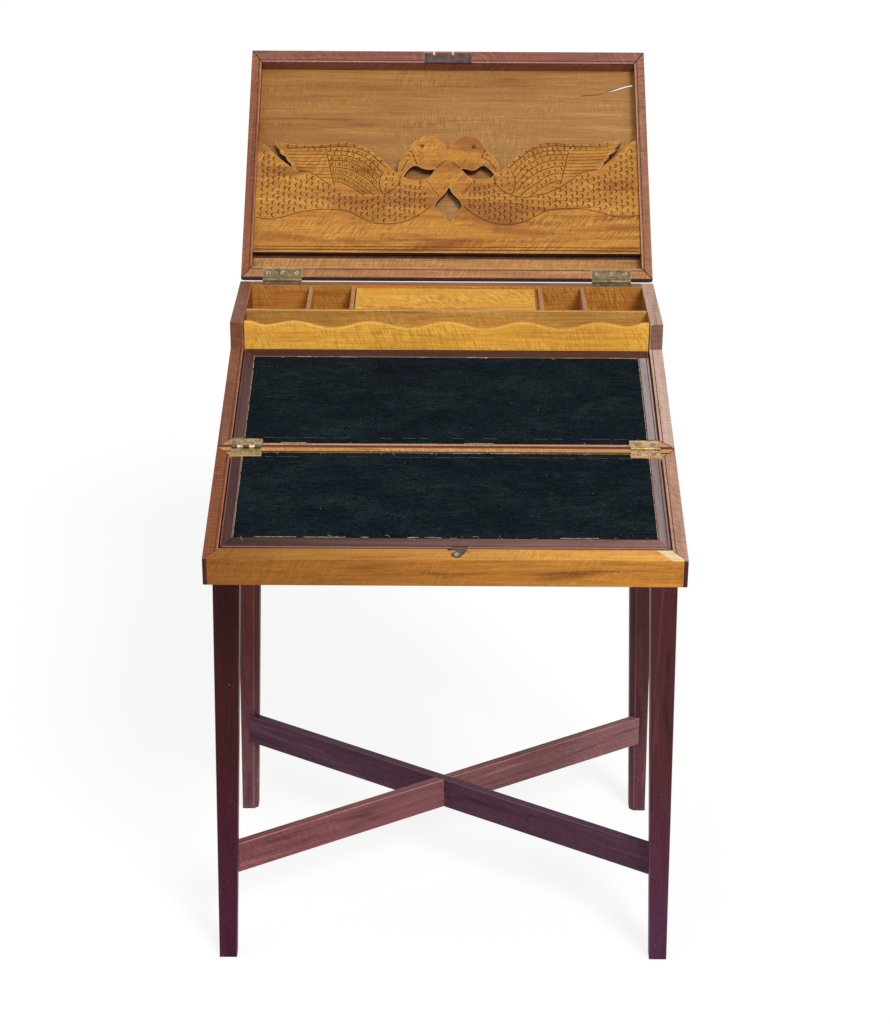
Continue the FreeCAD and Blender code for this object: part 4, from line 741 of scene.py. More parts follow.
def dark_crease(work, spare):
    """The edge beside the crease was never polished and has gone dark."""
    paint(work, GRIME_AND_SHADE, lambda face, middle: abs((SLOPED.inverted() @ middle).y) < CREASE_EDGE)


def side_strip(sign, inside, kind, tone):
    """A side strip of a border has a tone of its own, as far as the mitre or the shade of the tray; on the
    right strip it is a painted sheen.
    """
    square = sign > 0 and inside > 0

    def on_strip(face, middle):
        x, y, _ = SLOPED.inverted() @ middle
        out = (abs(x) - STRIP_INNER) / (STRIP_OUTER - STRIP_INNER)
        past_mitre = out - (abs(y) - abs(inside)) / MITRE_DEEP > 0
        in_shade = square and y > inside
        return face.material_index == PLAIN and x * sign > STRIP_NEAR and past_mitre and not in_shade

    def cut(work, spare):
        if square:
            split_along(work, SLOPED @ Vector((0.0, inside, 0.0)), SLOPE_RISE)
        paint(work, spare, on_strip)
        return [timber(kind, GRAIN_SLOPE, 53 if inside > 0 else 54, drift=(tone, tone))]

    return cut


# Each flap: end bead, end edge, wood of its border and its tones at left and right, tones of the side strips
FLAPS = {
    "upper_flap": (189.6, 192.8, "deep_dark_border", ((0.80,) * 3, (1.2,) * 3),
                   (1.2, 1.22, 1.3), (1.55, 1.7, 1.65)),
    "lower_flap": (-171.2, -174.3, "dark_border", ((0.21, 0.15, 0.14), (2.3, 2.8, 2.6)),
                   (0.9, 0.8, 0.82), (1.0, 1.05, 1.0)),
}
for flap, (end, stop, wood, drift, left_tone, right_tone) in FLAPS.items():
    board(flap + "_panel", "tray_satinwood", GRAIN_ACROSS, 33, extra=(dark_crease,))
    inside = stop - math.copysign(MITRE_DEEP, stop)
    changes = (
        bead_along((BORDER_BEAD * MM, 0.0, 0.0), ACROSS, SLOPE_OUT),
        bead_along((-BORDER_BEAD * MM, 0.0, 0.0), ACROSS, SLOPE_OUT),
        bead_along(SLOPED @ Vector((0.0, end, 0.0)), SLOPE_RISE, SLOPE_OUT),
        dark_joints(*both_sides(SLOPED, (STRIP_INNER, inside), (STRIP_OUTER, stop))),
        side_strip(-1, inside, "dull_dark_border", left_tone),
        side_strip(1, inside, "grey_dark_border", right_tone),
    )
    board(flap + "_borders", wood, GRAIN_ACROSS, 34, 0.8, extra=changes, drift=drift)

# Lid
LID_FOOT = 5.2
SLOT_FROM, SLOT_TO, SLOT_FLOOR = 41.0, 51.0, -15.0
RIM_WOOD = {
    "left": "left_edge_wood",
    "right": "rim_edge_wood",
    "front": "crown_edge_wood",
    "rear": "foot_edge_wood",
}


def dark_under(work, spare):
    """Painted shade on the lower edge, where the lid meets the box."""
    paint(work, GRIME_AND_SHADE, lambda face, middle: (LID.inverted() @ middle).y < LID_FOOT)


def dirty_slot(work, spare):
    """Painted shadow on the foot strip just below the letter rack."""
    def in_slot(face, middle):
        _, y, z = LID.inverted() @ middle
        return facing(face, LID_OUT) and SLOT_FROM < y < SLOT_TO and z < SLOT_FLOOR

    split_along(work, LID @ Vector((0.0, SLOT_FROM, 0.0)), LID_RISE)
    paint(work, GRIME_AND_SHADE, in_slot)


for side, sign in SIDES:
    bead = bead_along((sign * RIM_BEAD * MM, 0.0, 0.0), ACROSS, LID_OUT)
    changes = (bead, dark_joints(*RIM_MITRES), plain_outside(RIM_HANDLED_TO))
    board("lid_rim_" + side, RIM_WOOD[side], GRAIN_LID_UP, 36 + sign, 0.8, extra=changes)
for rim, at in (("front", 328.2), ("rear", 15.9)):
    bead = bead_along(LID @ Vector((0.0, at, 0.0)), LID_RISE, LID_OUT)
    changes = (bead, dark_joints(*RIM_MITRES), dark_under)
    board("lid_rim_" + rim, RIM_WOOD[rim], GRAIN_LID, 40 + int(at), 0.8, extra=changes)
board("rack_spacers", "band_satinwood", GRAIN_LID, 43, extra=(dirty_slot,))


# Carved boards of the lid
def smooth_line(points, step=1.6):
    """A flowing line through these points, in steps of about this many millimetres."""
    marks = [Vector(p) for p in points]
    line = []
    for i, (b, c) in enumerate(zip(marks, marks[1:])):
        a = marks[i - 1] if i else b + (b - c)
        d = marks[i + 2] if i + 2 < len(marks) else c + (c - b)
        pieces = max(1, round((c - b).length / step))
        for k in range(pieces):
            t = k / pieces
            way = 2 * b + (c - a) * t + (2 * a - 5 * b + 4 * c - d) * t * t
            line.append((way + (3 * b - a - 3 * c + d) * t ** 3) / 2)
    line.append(marks[-1])
    return [(p.x, p.y) for p in line]


def beside(line, gap):
    """The line moved sideways by gap."""
    moved = []
    for i, (x, y) in enumerate(line):
        back = line[max(0, i - 1)]
        on = line[min(len(line) - 1, i + 1)]
        dx, dy = on[0] - back[0], on[1] - back[1]
        size = math.hypot(dx, dy) or 1.0
        moved.append((x - dy / size * gap, y + dx / size * gap))
    return moved


def within(loop, spots):
    """Which spots lie inside a closed loop."""
    loop = np.asarray(loop, float)
    x, y = spots[:, 0:1], spots[:, 1:2]
    x0, y0 = loop[:, 0], loop[:, 1]
    x1, y1 = np.roll(x0, -1), np.roll(y0, -1)
    rise = np.where(y1 == y0, 1e-12, y1 - y0)
    hits = ((y0 > y) != (y1 > y)) & (x < (x1 - x0) * (y - y0) / rise + x0)
    return hits.sum(1) % 2 == 1


def turning(loop):
    """Positive for a loop that runs anticlockwise."""
    return sum(a[0] * b[1] - b[0] * a[1] for a, b in zip(loop, [*loop[1:], loop[0]]))


class CarvedBoard:
    """A thin board cut to a fretted outline, with lines and gouge marks cut into its face."""

    def __init__(self, outline, openings, lip=0.0):
        self.spots, self.ties, self.sunk = [], [], []
        self.outline, self.openings = outline, openings
        self.lines, self.tones = [], {}
        # With a lip, the outline and openings are sunk a little and toned -1, a painted highlight along the
        # cut edges; a loop just inside bounds it
        for loop in [outline, *openings]:
            self.run(loop, [lip] * len(loop), True, -1.0 if lip else None)
        for loop in [outline, *openings] if lip else ():
            inward = 0.65 if (turning(loop) > 0) == (loop is outline) else -0.65
            self.run(beside([loop[-1], *loop, loop[0]], inward)[1:-1], [0.0] * len(loop), True)

    def run(self, line, depths, closed=False, tone=None):
        """Tie a line into the board; tone, if given, replaces the darkening that goes with its depth, and a
        negative tone paints light.
        """
        first = len(self.spots)
        if tone is not None:
            self.tones.update({first + i: tone for i in range(len(line))})
        self.spots += list(line)
        self.sunk += list(depths)
        last = len(self.spots) - 1
        self.ties += [(i, i + 1) for i in range(first, last)]
        if closed:
            self.ties.append((last, first))

    def cut_line(self, line, half=0.65, deep=0.8):
        """A V-shaped knife line that runs out to nothing at both ends."""
        self.lines.append((np.asarray(line[1:-1], float), half, deep))
        self.run(line, [0.0] + [deep] * (len(line) - 2) + [0.0])
        for gap in (-half, half):
            self.run(beside(line, gap), [0.0] * len(line))

    def round_cut(self, x, y, marks):
        """Rings about a spot; each mark is a radius and how deep the cut is there."""
        for reach, deep in marks:
            turns = np.linspace(0.0, math.tau, 12, endpoint=False)
            self.run([(x + reach * math.cos(a), y + reach * math.sin(a)) for a in turns], [deep] * 12, True)

    def gouge(self, x, y, aim, size=3.4, deep=0.9):
        """A thumbnail cut: a steep curved wall on the side it aims at, running out to nothing behind."""
        rings = ([], [], [], [])
        for k in range(-3, 4):
            turn = aim + k * 0.44
            for ring, reach in zip(rings, (1.0, 0.86, 0.52, 0.22)):
                ring.append((x + math.cos(turn) * size * reach, y + math.sin(turn) * size * reach))
        fade = (0.4, 0.8, 1.0, 1.0, 1.0, 0.8, 0.4)
        self.run(rings[0], [0.0] * 7)
        # The wall rings are darkened as painted shade in the cut, and the innermost ring is lightened as a
        # painted highlight on the hollow
        self.run(rings[1], [deep * f for f in fade], tone=0.85)
        self.run(rings[2], [deep * 0.8 * f * f for f in fade], tone=0.52)
        self.run(rings[3], [deep * 0.2 * f for f in fade], tone=-0.3)
        tail = (x - math.cos(aim) * size * 0.25, y - math.sin(aim) * size * 0.25)
        self.run([rings[0][0], tail, rings[0][-1]], [0.0] * 3)

    def depth_by_lines(self, spots):
        depth = np.zeros(len(spots))
        for line, half, deep in self.lines:
            low, high = line.min(0) - half, line.max(0) + half
            close = np.nonzero(((spots >= low) & (spots <= high)).all(1))[0]
            if not len(close):
                continue
            start, run = line[:-1], line[1:] - line[:-1]
            offset = spots[close][:, None] - start[None]
            share = np.clip((offset * run).sum(2) / np.maximum((run * run).sum(1), 1e-9), 0.0, 1.0)
            away = np.linalg.norm(offset - share[..., None] * run, axis=2).min(1)
            depth[close] = np.maximum(depth[close], deep * np.clip(1.0 - away / half, 0.0, 1.0))
        return depth

    def mesh(self, name, place, face, back, slant=0.0, foot=0.0, stained_and_shaded=False):
        """The board between two depths; slant and foot shift the back of its openings and foot."""
        spots = [Vector(p) for p in self.spots]
        verts, _, faces, came_from, _, _ = delaunay_2d_cdt(spots, self.ties, [], 0, 1e-4)
        flat = np.array([(v.x, v.y) for v in verts])
        depth = self.depth_by_lines(flat)
        for i, sources in enumerate(came_from):
            for source in sources:
                depth[i] = max(depth[i], self.sunk[source])
        # Cuts darken with their depth: dirt and painted shade in the recesses
        dirt_shade_and_light = np.minimum(1.0, depth / 0.6)
        for i, sources in enumerate(came_from):
            for source in sources:
                dirt_shade_and_light[i] = self.tones.get(source, dirt_shade_and_light[i])
        middles = np.array([flat[list(f)].mean(0) for f in faces])
        keep = within(self.outline, middles)
        for hole in self.openings:
            keep &= ~within(hole, middles)
        faces = [f for f, kept in zip(faces, keep) if kept]
        count = len(flat)
        points = [place @ Vector((x, y, face - d)) for (x, y), d in zip(flat, depth)]
        inside = np.zeros(count, bool)
        for hole in self.openings:
            near_hole = np.linalg.norm(flat[:, None] - np.asarray(hole)[None], axis=2).min(1) < 1e-3
            inside |= near_hole
        shift = slant * inside + foot * (flat[:, 1] < flat[:, 1].min() + 1e-3)
        points += [place @ Vector((x, y + s, back)) for (x, y), s in zip(flat, shift)]
        edges = {}
        for f in faces:
            for a, b in zip(f, (*f[1:], f[0])):
                edges[(a, b)] = True
        rim = [(a, b) for a, b in edges if (b, a) not in edges]
        shell = [tuple(f) for f in faces]
        shell += [tuple(count + i for i in reversed(f)) for f in faces]
        shell += [(b, a, a + count, b + count) for a, b in rim]
        mesh = bpy.data.meshes.new(name)
        mesh.from_pydata(points, [], shell)
        work = bmesh.new()
        work.from_mesh(mesh)
        layer = work.verts.layers.float.new("cut")
        work.verts.ensure_lookup_table()
        for i, d in enumerate(dirt_shade_and_light):
            work.verts[i][layer] = d
        loose = [v for v in work.verts if not v.link_faces]
        bmesh.ops.delete(work, geom=loose, context="VERTS")
        bmesh.ops.recalc_face_normals(work, faces=work.faces)
        out, rise = (place.to_3x3().col[k].normalized() for k in (2, 1))
        # Walls that face down take the dark end-grain finish: stain and painted shade on the cut edges
        for wall in work.faces:
            if stained_and_shaded and abs(wall.normal.dot(out)) < 0.3 and wall.normal.dot(rise) < 0.1:
                wall.material_index = 1
        work.to_mesh(mesh)
        work.free()
        mesh.shade_flat()
        return mesh


def on_left(line):
    """The same line on the left half, which the carver let sink a little towards its end."""
    return [(-x, y - 0.033 * max(0.0, x - 60.0)) for x, y in line]


def joined(parts):
    """Flowing lines that follow each other round an opening."""
    return [p for part in parts for p in smooth_line(part)[:-1]]


# Letter rack: two birds with crossed necks, raised wings and long tails, in board coordinates
RACK_HALF = 237.3
RACK_FOOT = 43.5
CROWN = [(0.0, 193.0), (4.5, 201.7), (8.9, 208.6), (14.5, 213.2), (21.4, 216.0), (29.1, 216.0), (36.3, 213.6),
         (42.1, 206.8), (48.4, 196.0), (53.6, 188.3), (58.9, 183.0), (62.2, 177.8), (63.9, 170.4),
         (63.6, 164.6),
         (61.6, 161.0)]
LEFT_CROWN = [(0.0, 193.0), (5.1, 203.4), (11.4, 210.9), (17.7, 215.2), (25.0, 216.0), (32.2, 214.3),
              (37.5, 210.9),
              (42.7, 205.5), (46.5, 198.5), (48.6, 193.8), (51.7, 191.5), (55.5, 187.4), (58.8, 179.9),
              (60.8, 171.8),
              (61.4, 166.1), (61.0, 161.0)]
WING_TOP = [(61.6, 161.0), (69.0, 165.6), (80.5, 179.3), (95.3, 193.2), (108.5, 202.1), (121.6, 206.2),
            (138.0, 206.9), (162.6, 204.5), (187.2, 205.6), (203.7, 208.7), (215.5, 211.7)]
WING_TIPS = [(215.5, 211.7), (208.2, 195.5), (201.8, 188.4), (196.7, 180.1), (187.9, 166.8)]
TAIL_TOP = [(187.9, 166.8), (197.9, 175.2), (207.9, 184.1), (219.7, 196.0), (228.2, 205.9),
            (RACK_HALF, 212.5)]
DIAMOND = [
    [(2.0, 139.7), (6.9, 129.7), (14.9, 120.3), (18.6, 111.9)],
    [(18.6, 111.9), (12.3, 101.4), (2.7, 86.7)],
    [(2.7, 86.7), (-5.3, 98.1), (-15.5, 109.6)],
    [(-15.5, 109.6), (-14.2, 115.9), (-7.2, 125.4), (-1.9, 131.5), (2.0, 139.7)],
]
GAPE = [
    [(58.3, 157.7), (55.0, 163.4), (49.7, 169.1), (44.9, 171.9), (40.6, 170.2), (35.3, 165.6), (30.1, 164.4),
     (23.4, 166.6), (16.9, 167.2)],
    [(16.9, 167.2), (24.3, 157.5), (32.9, 151.8), (43.5, 151.3), (53.0, 153.1), (58.3, 157.7)],
]
LEFT_GAPE = [
    [(54.8, 154.6), (49.5, 164.4), (44.7, 169.6), (39.9, 171.1), (34.7, 169.1), (28.9, 166.3), (22.2, 165.2),
     (15.0, 166.4)],
    [(15.0, 166.4), (19.2, 158.9), (24.0, 153.1), (36.4, 149.1), (46.9, 150.7), (54.8, 154.6)],
]
BELLY = [(19.5, 112.0), (31.5, 100.6), (46.0, 91.2), (58.9, 86.5), (74.9, 85.2), (91.1, 87.6), (107.3, 96.3),
         (123.5, 105.6), (144.5, 108.4), (165.5, 108.2), (184.8, 104.5), (205.6, 97.9), (220.1, 96.7),
         (237.0, 99.1)]
WING_LOW = [(58.3, 156.5), (60.7, 144.1), (68.8, 134.5), (80.1, 127.8), (96.3, 125.0), (114.1, 128.1),
            (128.8, 133.9), (143.5, 142.7), (153.4, 150.6), (168.3, 162.3), (187.9, 166.8)]
LOW_ROOF = [(x, y + 3.5) for x, y in WING_LOW[2:-1]]
FEATHER_ENDS = [*WING_LOW[7:10], (183.0, 165.4), *WING_TIPS[::-1]]
SHOULDER = [(79.5, 163.7), (83.5, 154.0), (83.9, 140.4), (79.8, 128.4)]
SHOULDER_NICKS = [(66.0, 158.0), (73.0, 160.5), (66.5, 150.0), (74.0, 152.5), (67.0, 142.5), (75.5, 144.0),
                  (76.0, 136.0)]
DIVIDE = [(151.8, 194.5), (148.2, 179.8), (144.7, 162.2), (140.3, 143.7)]
COVERTS = [
    [(76.3, 167.6), (88.7, 181.4), (105.1, 195.2), (121.6, 200.3), (138.0, 201.7), (151.9, 200.9),
     (201.8, 200.8)],
    [(82.0, 161.8), (95.1, 177.5), (110.0, 189.0), (123.1, 193.4), (137.9, 195.4), (151.8, 194.5)],
    [(83.9, 154.0), (96.7, 169.7), (114.8, 183.5), (131.2, 188.3), (150.0, 188.4)],
    [(84.4, 144.3), (101.5, 163.8), (118.0, 175.7), (132.7, 180.2), (148.4, 180.6)],
    [(84.7, 133.6), (99.8, 152.2), (117.8, 164.9), (132.6, 169.9), (146.5, 171.5)],
    [(90.1, 127.3), (104.5, 140.5), (120.9, 154.2), (134.0, 160.2), (144.6, 161.2)],
    [(102.8, 127.4), (119.1, 140.6), (133.9, 148.5), (142.0, 150.5)],
]
# Faces: the lines of beak and mouth, eye, nostril, both ends of the row of cuts on the chest
RIGHT_FACE = {
    "lines": [
        [(48.2, 194.4), (45.5, 192.1), (43.8, 188.1), (43.3, 184.6), (45.0, 182.0), (46.6, 181.9),
         (52.6, 177.8),
         (56.5, 172.0), (59.8, 165.7), (60.9, 161.9)],
        [(16.9, 167.2), (9.9, 172.9), (3.2, 177.4)],
    ],
    "eye": (33.0, 199.6),
    "nostril": (50.0, 188.1),
    "chest": ((30.6, 144.0), (19.6, 128.0)),
}
LEFT_FACE = {
    "lines": [
        [(48.0, 193.4), (45.5, 192.4), (43.3, 189.2), (41.5, 183.5), (39.5, 177.7), (37.9, 172.6)],
        [(49.6, 179.4), (52.5, 173.6), (55.7, 166.7), (57.3, 160.9)],
        [(15.0, 166.4), (8.8, 172.7), (0.7, 179.7)],
    ],
    "eye": (31.7, 200.6),
    "nostril": (49.1, 186.0),
    "chest": ((26.0, 147.0), (11.5, 126.0)),
}


def height_at(line, x):
    xs, ys = zip(*line)
    return float(np.interp(x, xs, ys))


def across_at(line, y):
    xs, ys = zip(*line)
    return float(np.interp(y, ys, xs))


def plumage(cut, side, dice):
    """Rows of thumbnail cuts over the body, tail and wing of one bird; side is -1 for the left bird."""
    aim = 0.0 if side > 0 else math.pi

    def nick(x, y, size=3.4):
        size *= dice.uniform(0.86, 1.12)
        x += dice.uniform(-0.7, 0.7)
        y += dice.uniform(-0.7, 0.7)
        spot = (x, y) if side > 0 else on_left([(x, y)])[0]
        cut.gouge(*spot, aim + dice.uniform(-0.3, 0.3), size)

    roof = [(20.0, 124.0), (27.0, 141.0), (31.5, 151.0), (44.5, 148.5), (57.0, 152.0), (61.0, 142.0),
            *LOW_ROOF, (187.9, 163.5), *TAIL_TOP[1:]]
    column = 0
    x = 26.0
    while x < 234.0:
        low, high = height_at(BELLY, x) + 5.0, height_at(roof, x) - 4.0
        y = low + (4.6 if column % 2 else 0.0)
        while y < high:
            nick(x, y)
            y += 9.2
        x += 6.1 if x < 60 else 6.9
        column += 1
    rows = [smooth_line(line, 1.0) for line in [WING_TOP[1:-1], *COVERTS]]
    for upper, lower in zip(rows[:-1], rows[1:]):
        long = len(upper)
        spread = 4.5 if upper is rows[0] else 2.0
        last = 0.0
        for i in range(4, long - 4):
            a, b = upper[i], lower[min(len(lower) - 1, round(i * (len(lower) - 1) / (long - 1)))]
            here = ((a[0] + b[0]) / 2, (a[1] + b[1]) / 2)
            last += math.dist(upper[i], upper[i - 1])
            if last > 6.0 + spread and math.dist(a, b) > 4.0:
                nick(*here, 2.8)
                last = 0.0
    for upper, lower in zip(rows[3:-1], rows[4:]) if side < 0 else ():
        for i in range(5, len(upper) - 3, 3):
            beyond = round(i * (len(lower) - 1) / (len(upper) - 1)) + 2
            a, b = upper[i], lower[max(0, min(len(lower) - 1, beyond))]
            stroke = [tuple(p + (q - p) * t for p, q in zip(a, b)) for t in (0.1, 0.3, 0.5, 0.7, 0.9)]
            cut.cut_line(on_left(stroke), 0.5, 0.6)
    for x, y in SHOULDER_NICKS:
        nick(x, y, 2.4)


def feather_tips(line, count, bulge):
    """A line with a round swelling for the tip of each feather."""
    last = len(line) - 1
    swell = [bulge * abs(math.sin(math.pi * count * i / last)) for i in range(last + 1)]
    return [beside(line, gap)[i] for i, gap in enumerate(swell)]


EYE = ((2.7, 0.0), (2.3, 0.9), (1.35, 0.9), (0.95, 0.0))
NOSTRIL = ((1.2, 0.0), (0.85, 0.9), (0.3, 0.9))


def letter_rack():
    tips = feather_tips(smooth_line(WING_TIPS, 0.9), 4, 1.3)
    wing = smooth_line(WING_TOP)[:-1] + tips[:-1] + smooth_line(TAIL_TOP)
    right_half = smooth_line(CROWN)[:-1] + wing
    left_half = on_left(smooth_line(LEFT_CROWN)[:-1] + wing)
    outline = [(-RACK_HALF, RACK_FOOT), (RACK_HALF, RACK_FOOT)] + right_half[::-1] + left_half[1:]
    openings = [joined(DIAMOND), joined(GAPE), on_left(joined(LEFT_GAPE))]
    cut = CarvedBoard(outline, openings, 0.35)
    dice = random.Random(41)
    for side, face in ((1, RIGHT_FACE), (-1, LEFT_FACE)):
        def put_line(points, half_wide=0.75, deep=0.85):
            line = smooth_line(points)
            cut.cut_line(line if side > 0 else on_left(line), half_wide, deep)

        wing_low = (WING_LOW,) if side > 0 else (WING_LOW[:4], WING_LOW[7:])
        for line in (BELLY, *wing_low, SHOULDER, DIVIDE, *face["lines"], *COVERTS):
            put_line(line)
        for k in range(9):
            y = 195.2 - 5.0 * k
            near = across_at(DIVIDE[::-1], y) + 1.0
            far = across_at(FEATHER_ENDS, y + 1.5) - 2.5
            bend = ((near + far) / 2, y + 0.2 + dice.uniform(-0.4, 0.4))
            put_line([(near, y), bend, (far, y + 1.5)], 0.55, 0.7)
        cut.round_cut(side * face["eye"][0], face["eye"][1], EYE)
        cut.round_cut(side * face["nostril"][0], face["nostril"][1], NOSTRIL)
        start, end = face["chest"]
        for k in range(7):
            t = k / 6
            x, y = start[0] + (end[0] - start[0]) * t, start[1] + (end[1] - start[1]) * t
            cut.gouge(side * x, y, 2.4 if side > 0 else 0.7, 1.5, 0.8)
        plumage(cut, side, dice)
    for y, half_wide in ((47.4, 1.0), (51.6, 0.7)):
        cut.cut_line([(x, y) for x in np.linspace(-RACK_HALF, RACK_HALF, 120)], half_wide, 0.8)
    mesh = cut.mesh("letter_rack_carved", LID, face=-5.25, back=-10.75, stained_and_shaded=True)
    finishes = [timber("carved_satinwood", GRAIN_LID, 44, dirt_shade_and_light="cut"), timber("end_grain", GRAIN_LID, 47)]
    show("letter_rack_carved", mesh, finishes, "lid", ("letter_rack",))


def lid_panel():
    """The panel has split at its upper right, and light shows through the wide end of the split."""
    upper = [(199.0, 291.8), (205.0, 295.4), (213.0, 298.0), (221.0, 301.6), (229.0, 304.4), (236.0, 305.6)]
    lower = [(236.0, 303.0), (229.0, 301.6), (221.0, 298.6), (213.0, 295.6), (205.0, 293.8)]
    outline = [(-HALF_WIDE, 11.01), (HALF_WIDE, 11.01), (HALF_WIDE, 343.0), (-HALF_WIDE, 343.0)]
    cut = CarvedBoard(outline, [upper + lower])
    cut.cut_line(smooth_line([(169.0, 287.0), (180.0, 288.2), (190.0, 289.0), (198.6, 291.7)]), 0.7, 1.2)
    # Painted light: the panel behind the rack, seen through its openings, is lightened a little to lift its
    # shade
    for y, painted_light in ((14.0, -0.1), (140.0, -0.1), (205.0, 0.0)):
        cut.run([(-249.0, y), (249.0, y)], [0.0, 0.0], tone=painted_light)
    # Painted shadow of the wing tips on the panel, bounded by a ring that is lightened a little
    behind = [(x + 2.3, y + 3.0) for x, y in smooth_line(WING_TIPS, 3.0)]
    for line in (behind, on_left(behind)):
        cut.run(line[1:-1], [0.0] * (len(line) - 2), tone=0.9)
        loop = beside(line, 2.0) + beside(line, -2.0)[::-1]
        cut.run(loop, [0.0] * len(loop), True, -0.05)
    mesh = cut.mesh("lid_panel_split", LID, face=-17.75, back=-24.25, slant=3.2, foot=4.24)
    drift = ((0.95, 0.90, 0.78), (1.03, 1.11, 1.18))
    finish = timber("lid_satinwood", GRAIN_LID, 45, dirt_shade_and_light="cut", drift=drift, lightening=(0.66, 0.50, 0.26))
    show("lid_panel_split", mesh, [finish], "lid", ("lid_panel",))


letter_rack()
lid_panel()


# Brass and steel
KNUCKLE_HIGH, KNUCKLE_REACH = 0.6, 2.15
PLATE_FACE = 0.1


def metal(node, finishes, choose=None):
    """A worn metal copy of a node; choose picks the finish of a face by its middle."""
    work = bare_copy(node)
    if choose:
        for face in work.faces:
            face.material_index = choose(face.calc_center_median())
    mesh = finished_mesh(node + "_worn", work, 0.5)
    show(node + "_worn", mesh, finishes, nodes[node]["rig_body"], (node,))


def fold_finish(middle):
    """Leaf or knuckle, of the left hinge or of the paler right one."""
    spot = SLOPED.inverted() @ middle
    knuckle = math.hypot(spot.y, spot.z - KNUCKLE_HIGH) < KNUCKLE_REACH
    return int(knuckle) + (2 if spot.x > 0 else 0)


def on_eye(middle):
    """The eyes stand out of the plate; their brightest brass is a painted highlight."""
    return int((LID.inverted() @ middle).z > PLATE_FACE)


metal("fold_hinge_rear_leaves", [FOLD_BRASS, DARK_BRASS, PALE_BRASS, FOLD_BRASS], fold_finish)
metal("fold_hinge_front_leaves", [FOLD_BRASS, BRIGHT_BRASS, PALE_BRASS, FOLD_BRASS], fold_finish)
metal("lid_lock_plate", [DARK_BRASS, BRIGHT_BRASS], on_eye)
metal("flap_catch", [DARK_BRASS])
BRASS_NODES = ("lid_hinge_box_leaves", "lid_hinge_lid_leaves", "fold_hinge_pins", "lid_hinge_pins",
               "escutcheon")
for node in BRASS_NODES:
    metal(node, [BRASS])
for node in ("lock_case", "lock_bolt", "stand_screws"):
    metal(node, [STEEL])


# Screws, set by Geometry Nodes
def add_inputs(tree, sizes, finishes=("Finish",)):
    tree.interface.new_socket("Geometry", in_out="INPUT", socket_type="NodeSocketGeometry")
    for name, value in sizes:
        made = tree.interface.new_socket(name, in_out="INPUT", socket_type="NodeSocketFloat")
        made.default_value = value
    for name in finishes:
        tree.interface.new_socket(name, in_out="INPUT", socket_type="NodeSocketMaterial")
    tree.interface.new_socket("Geometry", in_out="OUTPUT", socket_type="NodeSocketGeometry")
    return put(tree, "NodeGroupInput").outputs, put(tree, "NodeGroupOutput")


def moved(tree, shape, up):
    shift = put(tree, "ShaderNodeCombineXYZ", {"Z": up}).outputs[0]
    return put(tree, "GeometryNodeTransform", {"Geometry": shape, "Translation": shift}).outputs[0]


def screw_tree():
    """Countersunk slotted screws on points that carry their turn as an attribute."""
    tree = bpy.data.node_groups.new("slotted_screws", "GeometryNodeTree")
    sizes = (("Head Radius", 0.0029), ("Head Height", 0.0012), ("Shank Radius", 0.0010), ("Length", 0.0065),
             ("Slot Width", 0.0009), ("Slot Depth", 0.0006))
    given, result = add_inputs(tree, sizes, ("Finish", "Dark Finish"))

    def coloured(shape, finish):
        return put(tree, "GeometryNodeSetMaterial", {"Geometry": shape, "Material": given[finish]}).outputs[0]

    head_settings = {"Vertices": 24, "Radius Top": given["Head Radius"],
                     "Radius Bottom": given["Shank Radius"],
                     "Depth": given["Head Height"]}
    head = put(tree, "GeometryNodeMeshCone", head_settings, fill_type="NGON").outputs["Mesh"]
    head = coloured(moved(tree, head, product(tree, given["Head Height"], -1.0)), "Finish")
    long_slot = product(tree, given["Head Radius"], 3.0)
    deep_slot = product(tree, given["Slot Depth"], 2.0)
    bar_settings = {"X": long_slot, "Y": given["Slot Width"], "Z": deep_slot}
    bar = put(tree, "ShaderNodeCombineXYZ", bar_settings).outputs[0]
    # The slot faces take the dark finish: dirt and painted shade in the slot
    knife = coloured(put(tree, "GeometryNodeMeshCube", {"Size": bar}).outputs["Mesh"], "Dark Finish")
    slotted = put(tree, "GeometryNodeMeshBoolean", {"Mesh 1": head, "Mesh 2": knife}, operation="DIFFERENCE")
    # A dark disc a little wider than the head: painted shadow of the countersink gap round it
    rim_settings = {"Vertices": 24, "Radius": product(tree, given["Head Radius"], 1.14)}
    rim = put(tree, "GeometryNodeMeshCircle", rim_settings, fill_type="NGON").outputs["Mesh"]
    rim = coloured(moved(tree, rim, product(tree, given["Slot Depth"], -0.12)), "Dark Finish")
    shank_settings = {"Vertices": 12, "Radius": given["Shank Radius"], "Depth": given["Length"]}
    shank = put(tree, "GeometryNodeMeshCylinder", shank_settings, fill_type="NGON").outputs["Mesh"]
    drop = product(tree, reckon(tree, "ADD", given["Length"], given["Head Height"]), -0.5)
    shank = coloured(moved(tree, shank, drop), "Finish")
    whole = put(tree, "GeometryNodeJoinGeometry")
    for shape in (slotted.outputs["Mesh"], rim, shank):
        tree.links.new(shape, whole.inputs[0])
    points = put(tree, "GeometryNodeMeshToPoints", {"Mesh": given["Geometry"]}).outputs[0]
    named = put(tree, "GeometryNodeInputNamedAttribute", {"Name": "turn"}, data_type="FLOAT_VECTOR")
    settings = {"Points": points, "Instance": whole.outputs[0], "Rotation": named.outputs["Attribute"]}
    placed = put(tree, "GeometryNodeInstanceOnPoints", settings).outputs[0]
    real = put(tree, "GeometryNodeRealizeInstances", {"Geometry": placed}).outputs[0]
    tree.links.new(real, result.inputs[0])
    return tree


